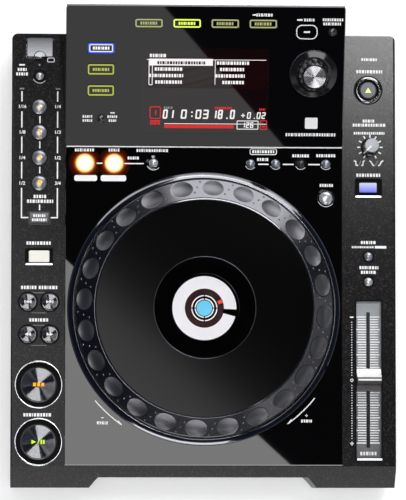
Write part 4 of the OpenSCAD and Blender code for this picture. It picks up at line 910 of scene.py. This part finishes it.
# The plate's own grey is painted darker in front and lighter behind: a painted sheen.
plate_grey = Finish("fader_plate_grey", metallic=0.3)
far = plate_grey.back(FADER_Y - 70, FADER_Y + 70)
plate_grey.set(Base_Color=plate_grey.mix(far, (0.07, 0.07, 0.075), (0.26, 0.28, 0.3)),
               Roughness=plate_grey.noise(400.0) * 0.1 + 0.35)
dress(plate_grey, "tempo_fader")
MINOR, MAJOR_EVERY, SCALE_IN, SCALE_OUT, LINE_T = FADER_TRAVEL / 50, 5, 1.5, 9.2, 1.0
scale_lines = []
for number in range(-25, 26):
    major = number % MAJOR_EVERY == 0
    reach, thick = (SCALE_OUT, LINE_T) if major else (SCALE_OUT - 1.0, LINE_T * 0.8)
    for middle in (-(SCALE_IN + reach) / 2, (SCALE_IN + reach) / 2):
        scale_lines.append(block(middle, number * MINOR, reach - SCALE_IN, thick))
add("fader_scale", print_finish, scale_lines, (FADER_X, FADER_Y, FADER_Z))
slot_edges = [stroke([(x, -53.6), (x, 53.6)], 0.5) for x in (-SLOT_R, SLOT_R)]
add("fader_slot_liner", skirt_finish, slot_edges, (FADER_X, FADER_Y, FADER_Z))
# A lip of bright metal at the front of the fader's well is a painted highlight.
add("fader_well_lip", chrome_and_lip_highlight, bevel_bar(19.6), (FADER_X + 0.5, FADER_Y - 62.9, DECK_Z))
# The cap's white back is a painted highlight, and the black band across its front a painted shade.
slider_paint_and_light = Finish("slider_cap_painted_light", metallic=0.2)
rear = slider_paint_and_light.back(FADER_Y + 1.7, FADER_Y + 1.7 + STEP)
front = slider_paint_and_light.back(FADER_Y - 4.4, FADER_Y - 4.4 + STEP)
shade_band = front * slider_paint_and_light.back(FADER_Y - 3.6, FADER_Y - 3.6 - STEP)
slope_shade = slider_paint_and_light.mix(shade_band, (0.055, 0.05, 0.05), (0.004, 0.004, 0.004))
slider_paint_and_light.set(Base_Color=slider_paint_and_light.mix(rear, slope_shade, (0.86, 0.86, 0.86)),
                  Roughness=slider_paint_and_light.noise(500.0) * 0.12 + 0.28)
dress(slider_paint_and_light, "tempo_slider")
slider_line = block(0, -0.35, 18.2, 1.3, 14.1, 14.45)
add("slider_line", print_finish, slider_line, (FADER_X, FADER_Y, FADER_Z), "tempo_slider")
# A black frame of painted shade runs round the fader's well.
well_edge = frame_line(FADER_X, FADER_Y, WELL_W, WELL_L, 1.2, 1.5, -0.3, 0.12)
add("fader_well_edge", painted_shade, well_edge, (0, 0, DECK_Z))

# ---- memory stick lid ----
# A small brushed lid turns on two pins over the memory stick's port. Its colour is painted pale in front and
# dark behind as a painted sheen, and a bright half disc for the finger is a painted highlight. A lip of
# bright metal along two sides of its well is a painted highlight too.
LID_X, LID_Y, LID_Z = spot("usb_lid")
LID_W, LID_L = 19.8, 14.7
lid_grain_and_sheen = Finish("lid_brushed_with_sheen", metallic=0.85)
brushed = lid_grain_and_sheen.noise(260.0, 3.0, (0.06, 1.0, 1.0))
pale = lid_grain_and_sheen.mix(brushed, (0.2, 0.205, 0.22), (0.26, 0.265, 0.28))
deep = lid_grain_and_sheen.mix(brushed, (0.045, 0.047, 0.052), (0.065, 0.067, 0.072))
lid_grain_and_sheen.set(Base_Color=lid_grain_and_sheen.mix(lid_grain_and_sheen.back(LID_Y - 7, LID_Y + 7), pale, deep),
               Roughness=brushed * 0.16 + 0.26)
dress(lid_grain_and_sheen, "usb_lid")
notch_highlight = Finish("lid_notch_highlight", metallic=0.3).grain((0.42, 0.43, 0.44), 0.3, 300.0)
left, front = -LID_W / 2, -LID_L / 2
grip = arc_plate(0.2, 4.6, 25, 155, -0.7, -0.28, 24)
add("lid_crescent", notch_highlight, grip, (LID_X, LID_Y + front - 0.9, LID_Z), "usb_lid")
lid_lip = [(left - 1.0, 2.5), (left - 1.0, front - 0.4), (left - 0.2, front - 1.3), (2.0, front - 1.4)]
add("lid_well_lip", chrome_and_lip_highlight, stroke(lid_lip, 0.5, -0.3, 0.1), (LID_X, LID_Y, DECK_Z))

# ---- screen ----
# The display module's glass shows a dark maroon page: a header, a list with one row lit, and a row of
# numbers over a red bar that shows how far the disc has played.
screen_finish = Finish("screen_glass", Emission_Strength=1.0, Specular_IOR_Level=GLOSS)
wash = screen_finish.noise(14.0, 2.0)
screen_finish.set(Base_Color=screen_finish.mix(wash, (0.0008, 0.0008, 0.001), (0.0012, 0.001, 0.001)),
                  Roughness=wash * 0.01 + 0.006,
                  Emission_Color=screen_finish.mix(wash, (0.003, 0.0004, 0.0006), (0.005, 0.0006, 0.0009)))
dress(screen_finish, "display_screen")
SEGMENTS = {"0": "abcdef", "1": "bc", "2": "abdeg", "3": "abcdg", "6": "acdefg", "8": "abcdefg"}
# Each bar's place, as shares of the way across and up, and whether it lies or stands.
PLACES = {"a": (0.5, 1, 1), "b": (1, 0.75, 0), "c": (1, 0.25, 0), "d": (0.5, 0, 1), "e": (0, 0.25, 0),
          "f": (0, 0.75, 0), "g": (0.5, 0.5, 1)}
DIGIT_LEAN, PAGE = 0.1, (0.0, 0.05)


def digits(text, x, y, w, h):
    """Slanted seven-segment numbers in a row w wide, h high, from the left edge x; y is their middle."""
    pitch, bar, shapes = w / len(text), h * 0.16, []
    for number, mark in enumerate(text):
        left, wide = x + number * pitch, pitch * 0.78
        for side, up, lies in (PLACES[part] for part in SEGMENTS.get(mark, "")):
            cx, cy = left + bar / 2 + side * (wide - bar), y + (up - 0.5) * (h - bar)
            size = (wide - bar * 0.6, bar) if lies else (bar, h / 2 - bar * 0.6)
            shapes.append(block(cx + DIGIT_LEAN * (cy - y), cy, *size, *PAGE, DIGIT_LEAN))
        dots = {":": (-0.22, 0.22), ".": (-0.42,)}.get(mark, ())
        shapes += [block(left + pitch / 2, y + dy * h, bar, bar, *PAGE) for dy in dots]
    return shapes


ROWS = (67.4, 62.3, 57.1, 51.9)
white = words(-37.5, 73.1, 13.0, 2.6)
lines = [(0.8, 69.9, 94.4, 0.5), (7.7, 59.8, 0.5, 19.4), (8.6, 18.5, 81.0, 0.5), (30.4, 25.4, 3.0, 0.8),
         (30.4, 25.4, 0.8, 3.0), (-18.0, ROWS[0] + 0.5, 47.6, 5.4), (-43.2, ROWS[0], 2.6, 4.6)]
white += [block(*line, *PAGE) for line in lines]
for number, v in enumerate(ROWS):
    white += words(-31.0 + (number % 2) * 2, v, 17.0 + (number * 5) % 11, 2.6) if number else []
    white += words(22.0 - number % 3, v, 26.0 - (number * 7) % 12, 2.6)
for row in (("01", -33.1, 26.2, 9.6, 7.4), ("0:03", -18.8, 26.2, 23.1, 7.4), ("18.0", 5.7, 26.2, 19.2, 7.4),
            ("0.02", 33.6, 25.4, 15.4, 5.4), ("126", 29.5, 17.7, 10.0, 4.6)):
    white += digits(*row)
white += [frame_line(*box, 0.6, *PAGE)
          for box in ((-43.2, 60.0, 2.6, 20.6, 0.3), (34.1, 17.7, 16.6, 6.6, 0.4))]
red = [frame_line(*box, 0.7, *PAGE) for box in ((-39.2, 27.3, 8.2, 9.4, 1.2), (46.8, 17.8, 4.8, 7.0, 0.6))]
lines = [(-4.5, 16.3, 55.0, 2.6), (46.8, 16.6, 2.2, 1.2), (-39.2, 20.6, 7.9, 1.1)]
red += [block(*line, *PAGE) for line in lines]
red += words(14.8, 31.3, 13.4, 1.8) + words(45.7, 30.3, 5.0, 1.6) + words(-39.2, 18.7, 7.9, 2.0)
red += digits("1", -40.4, 27.3, 2.6, 5.0)
dark = [block(2.0, 59.6, 96.0, 25.0, -0.03, 0.0), block(2.0, 20.6, 100.0, 15.0, -0.03, -0.01)]
page_dark = lit("screen_dark_red", (0.022, 0.002, 0.003))
for ink, finish, parts in (("white", lit("screen_white", (0.8, 0.78, 0.78)), white),
                           ("red", lit("screen_red", (0.62, 0.02, 0.02)), red), ("dark", page_dark, dark),
                           ("grey", lit("screen_grey", (0.22, 0.2, 0.2)), words(-29.0, 31.3, 7.0, 1.8))):
    add("screen_page_" + ink, finish, parts, lay=tilted)
lit_row = words(-19.0, ROWS[0], 38.0, 2.4)
add("screen_highlight_text", page_dark, lit_row, (0, 0, 0.03), lay=tilted)

# ---- printed marks ----
# White screen-printed marks on the strips, the deck panel and the display panel. Where a word would stand is
# a row of small blocks. Each row of numbers gives a mark's middle, its width and its height.
LINE_W = 1.0
strip_words = [
    (-144.2, 141.3, 7.6, 2.4), (-144.2, 137.7, 9.9, 2.4), (-130, 40.3, 10, 2.6), (-129.8, 36.5, 20.7, 2.6),
    (-130.5, 3.3, 19.8, 2.6), (-138.5, -31.8, 12.1, 2.6), (-123.3, -31.8, 14.6, 2.6),
    (-130.3, -57.5, 15.2, 2.6), (-130.8, -132.3, 22.9, 2.6),
    (131.8, 151.1, 12.7, 2.2), (131.8, 141.4, 20.6, 2.6), (131.5, 101.9, 10.1, 2.4), (131.5, 98.6, 26.1, 2.4),
    (131.5, 92.1, 24.6, 2.0), (130.8, 58.6, 19, 2.6), (131.1, 4.9, 12.7, 2.4), (131.1, -15.1, 15, 2.4),
    (131.1, -18.8, 12.7, 2.4), (126.5, 1.2, 18.0, 1.6)]
strip_print = [part for row in strip_words for part in words(*row)]
strip_print += [block(140.4, 1.2, 9.2, 2.0), block(-144.5, 145.0, 4.5, 1.2)]

# A bracket of lines joins the loop lengths beside the beat keys to the loop key.
BRACKET_LEFT, BRACKET_RIGHT, BEAT_X = -144.5, -116.2, -130.2
for low, high in ((115.8, 123.9), (95.0, 107.9), (74.8, 87.9), (54.5, 67.7)):
    strip_print += [block(x, (low + high) / 2, LINE_W, high - low) for x in (BRACKET_LEFT, BRACKET_RIGHT)]
for x, inner in ((BRACKET_LEFT, -138.8), (BRACKET_RIGHT, -121.4)):
    strip_print.append(stroke([(x, 47.1), (x, 23.5), (inner, 23.5)], LINE_W))
for low, high in ((98.6, 104.2), (78.5, 84.2), (58.6, 63.9), (29.4, 33.8)):
    strip_print.append(block(BEAT_X, (low + high) / 2, LINE_W, high - low))
LENGTH_H, LENGTH_W = 2.7, {3: 4.6, 4: 5.8}
for y, *texts in ((111.9, "1/16", "1/4"), (91.5, "1/8", "1/3"), (71.1, "1/4", "1/2"), (50.9, "1/2", "3/4")):
    for x, text in zip((-143.9, -115.9), texts):
        strip_print.append(level(numerals(text, LENGTH_H, 0.06, LENGTH_W[len(text)]), x, y, 0.02))
strip_print.append(frame_line(-121.7, 149.0, 5.2, 3.2, 0.6, 0.5))

# Ticks stand round the speed knob, with two rising and two falling curves in front of it.
TICK_R, TICK_L = 8.9, 2.4
for angle in np.radians(range(-60, 241, 30)):
    way, at = np.array([math.cos(angle), math.sin(angle)]), np.array([SPEED_X, SPEED_Y])
    strip_print.append(stroke([at + way * (TICK_R - TICK_L / 2), at + way * (TICK_R + TICK_L / 2)], LINE_W))
for curve in ([(119.3, 70.2), (120.8, 69.6), (121.1, 66.6), (122.7, 66.3)],
              [(125.3, 66.1), (126.5, 66.7), (126.8, 69.5), (128, 70.4)],
              [(131.7, 70.2), (132.9, 69.4), (134.4, 66.7), (135.6, 66.2)],
              [(138.7, 66.1), (139.9, 66.8), (141.4, 69.5), (142.8, 70.3)]):
    strip_print.append(stroke(curve, LINE_W))

# A row of dots runs beside the fader, with a ring at its middle, a minus behind it and a plus in front.
SCALE_X, SCALE_Y, DOT = 117.3, FADER_Y - 0.5, 0.75
dot_rows = [number * MINOR for number in range(-23, 24) if abs(number) > 1]
strip_print += [block(SCALE_X, SCALE_Y + y, DOT, DOT) for y in dot_rows]
strip_print.append(frame_line(SCALE_X, SCALE_Y, 2.0, 2.0, 0.95, 0.6))
for y, w, h in ((50, 2.8, 1.0), (-50, 2.8, 0.9), (-50, 0.9, 2.8)):
    strip_print.append(block(SCALE_X, SCALE_Y + y, w, h))
add("strip_print", print_finish, strip_print, (0, 0, DECK_Z))
add("fader_word", print_finish, words(FADER_X, -162.3, 13.0, 2.8), (0, 0, FADER_Z))
faint_finish = Finish("print_grey").grain((0.17, 0.17, 0.17), 0.5, 700.0, 0.05, 0.1)
faint = [block(-130.4, key(name)[1] + dy, w, 0.45) for name in ("track_back", "search_back")
         for dy, w in ((7.2, 9.0), (-8.7, 12.0))]
faint += [block(x, 126, 3.6, 1.2) for x in (BRACKET_LEFT, -115.9)]
faint += [stroke([(x, 66.5), (x + 1.6, 70.2)], 0.7) for x in (123.4, 136.6)]
add("strip_faint_print", faint_finish, faint, (0, 0, DECK_Z))

# On the deck panel: words over the row of keys, lines between them, and two arrows round the jog wheel.
SPIN_R, BARB_L = 112.6, 4.6
deck_words = [
    (-94.5, 77.4, 16, 2.3), (-71.5, 77.5, 8.5, 2.3), (-55.6, 71.2, 10, 2.3), (-40.6, 77.3, 26, 2.3),
    (46.9, 70.6, 9.5, 2.3), (77, 73.7, 13.5, 2.3), (97, 73.9, 15.5, 2.3), (97.2, 50.2, 10.5, 2.3),
    (81.2, -136.8, 8.5, 2.3), (-80.1, -138.6, 8.5, 2.3), (47.05, 76.85, 17.5, 2.4)]
deck_print = [part for row in deck_words for part in words(*row)]
for left, right in ((43, 51.3), (62.7, 71.2), (82.8, 92.2)):
    deck_print.append(block((left + right) / 2, 66.8, right - left, LINE_W))
deck_print += [block(-82.85, 66.9, 4.5, LINE_W), block(-55.6, 66.8, 15.4, 0.9)]
deck_print += [prism(round_rect(x, 55.05, w, 4.7, 1.6)) for x, w in ((-93.85, 18.1), (-71.9, 20.2))]
deck_print.append(frame_line(47.05, 76.85, 21.0, 4.6, 1.4, 0.6))
for start, end, turned in ((-38.8, -53.9, -1), (220.3, 234.8, 1)):
    a = np.radians(np.linspace(start, end, 24))
    path = np.column_stack([SPIN_R * np.cos(a), SPIN_R * np.sin(a) + JOG_Y])
    deck_print.append(stroke(path[::turned], 0.85))
    tip, way = path[-1], (path[-1] - path[-2]) / np.linalg.norm(path[-1] - path[-2])
    side = np.array([-way[1], way[0]]) * turned
    barb = [tip - way * BARB_L + side * 1.5, tip - way * (BARB_L - 0.4), tip + way * 0.9]
    deck_print.append(prism(barb[::turned], -0.02, 0.06))
deck_print += [block(x, y, w, h) for x, y, w, h in ((81.2, -132.5, 2.2, 0.6), (81.2, -132.5, 0.6, 2.2),
                                                    (-80.1, -134.5, 2.2, 0.6))]
add("deck_print", print_finish, deck_print, (0, 0, PANEL_Z))

# On the display panel: words by the keys, a tile and a word under the selector, a line along the front edge.
display_words = [
    (46, 106, 13.7, 2.3), (81.2, 102.3, 8.1, 2.2), (100, 102.6, 16.2, 2.2), (99.3, 99.3, 14, 2.2),
    (-92.3, 23.8, 8.5, 2.0), (-92.3, 20.6, 8.5, 2.0), (-72.9, 23.8, 8.1, 2.0), (-72.9, 20.6, 6, 2.0),
    (84.3, 10.2, 39.6, 2.4)]
display_print = [part for row in display_words for part in words(*row)]
display_print += [block(38, 106, 3.2, 1.1), block(73.8, 102.3, 4.4, 1.3), block(-72.9, 26.9, 3.6, 1.0),
                  prism(round_rect(84.7, 19.5, 10, 9, 1.0)), block(0.3, -0.3, 218.6, 0.9, -0.1, 0.12)]
add("display_print", print_finish, display_print, lay=tilted)

# Indicator lamps: small clear domes.
lamp_finish = Finish("indicator_clear", metallic=0.3, Coat_Weight=0.5).grain((0.3, 0.3, 0.31), 0.2, 900.0)
lamps = [level(pearl(0.9, 0.6), *place) for place in ((-130.7, 145.0), (131.9, 147.6))]
add("indicator_lamps", lamp_finish, lamps, (0, 0, DECK_Z), smooth=True)

# ---- back panel, feet and inner pieces ----
# Moulded sockets with nickel-plated barrels, a plastic mains switch that is pushed in, rubber feet, and the
# drive's plastic spindle table and rubber roller.
REAR_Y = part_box("lower_case")[1][1] / MM
socket_finish = Finish("socket_black")
plated = socket_finish.back(REAR_Y + 0.6, REAR_Y + 0.85)
nickel = socket_finish.mix(plated, (0.02, 0.02, 0.021), (0.62, 0.6, 0.55))
socket_finish.set(Base_Color=nickel, Metallic=plated, Roughness=socket_finish.noise(500.0) * 0.14 + 0.22)
dress(socket_finish, "sockets")
dark_finish = Finish("dark_plastic").grain((0.02, 0.02, 0.021), 0.45, 500.0)
dress(dark_finish, "power_switch", "disc_turntable")
rubber_finish = Finish("foot_rubber").grain((0.018, 0.018, 0.018), 0.75, 800.0)
rubber_finish.bump(rubber_finish.noise(800.0), 0.00003)
dress(rubber_finish, "rubber_feet", "loading_roller")
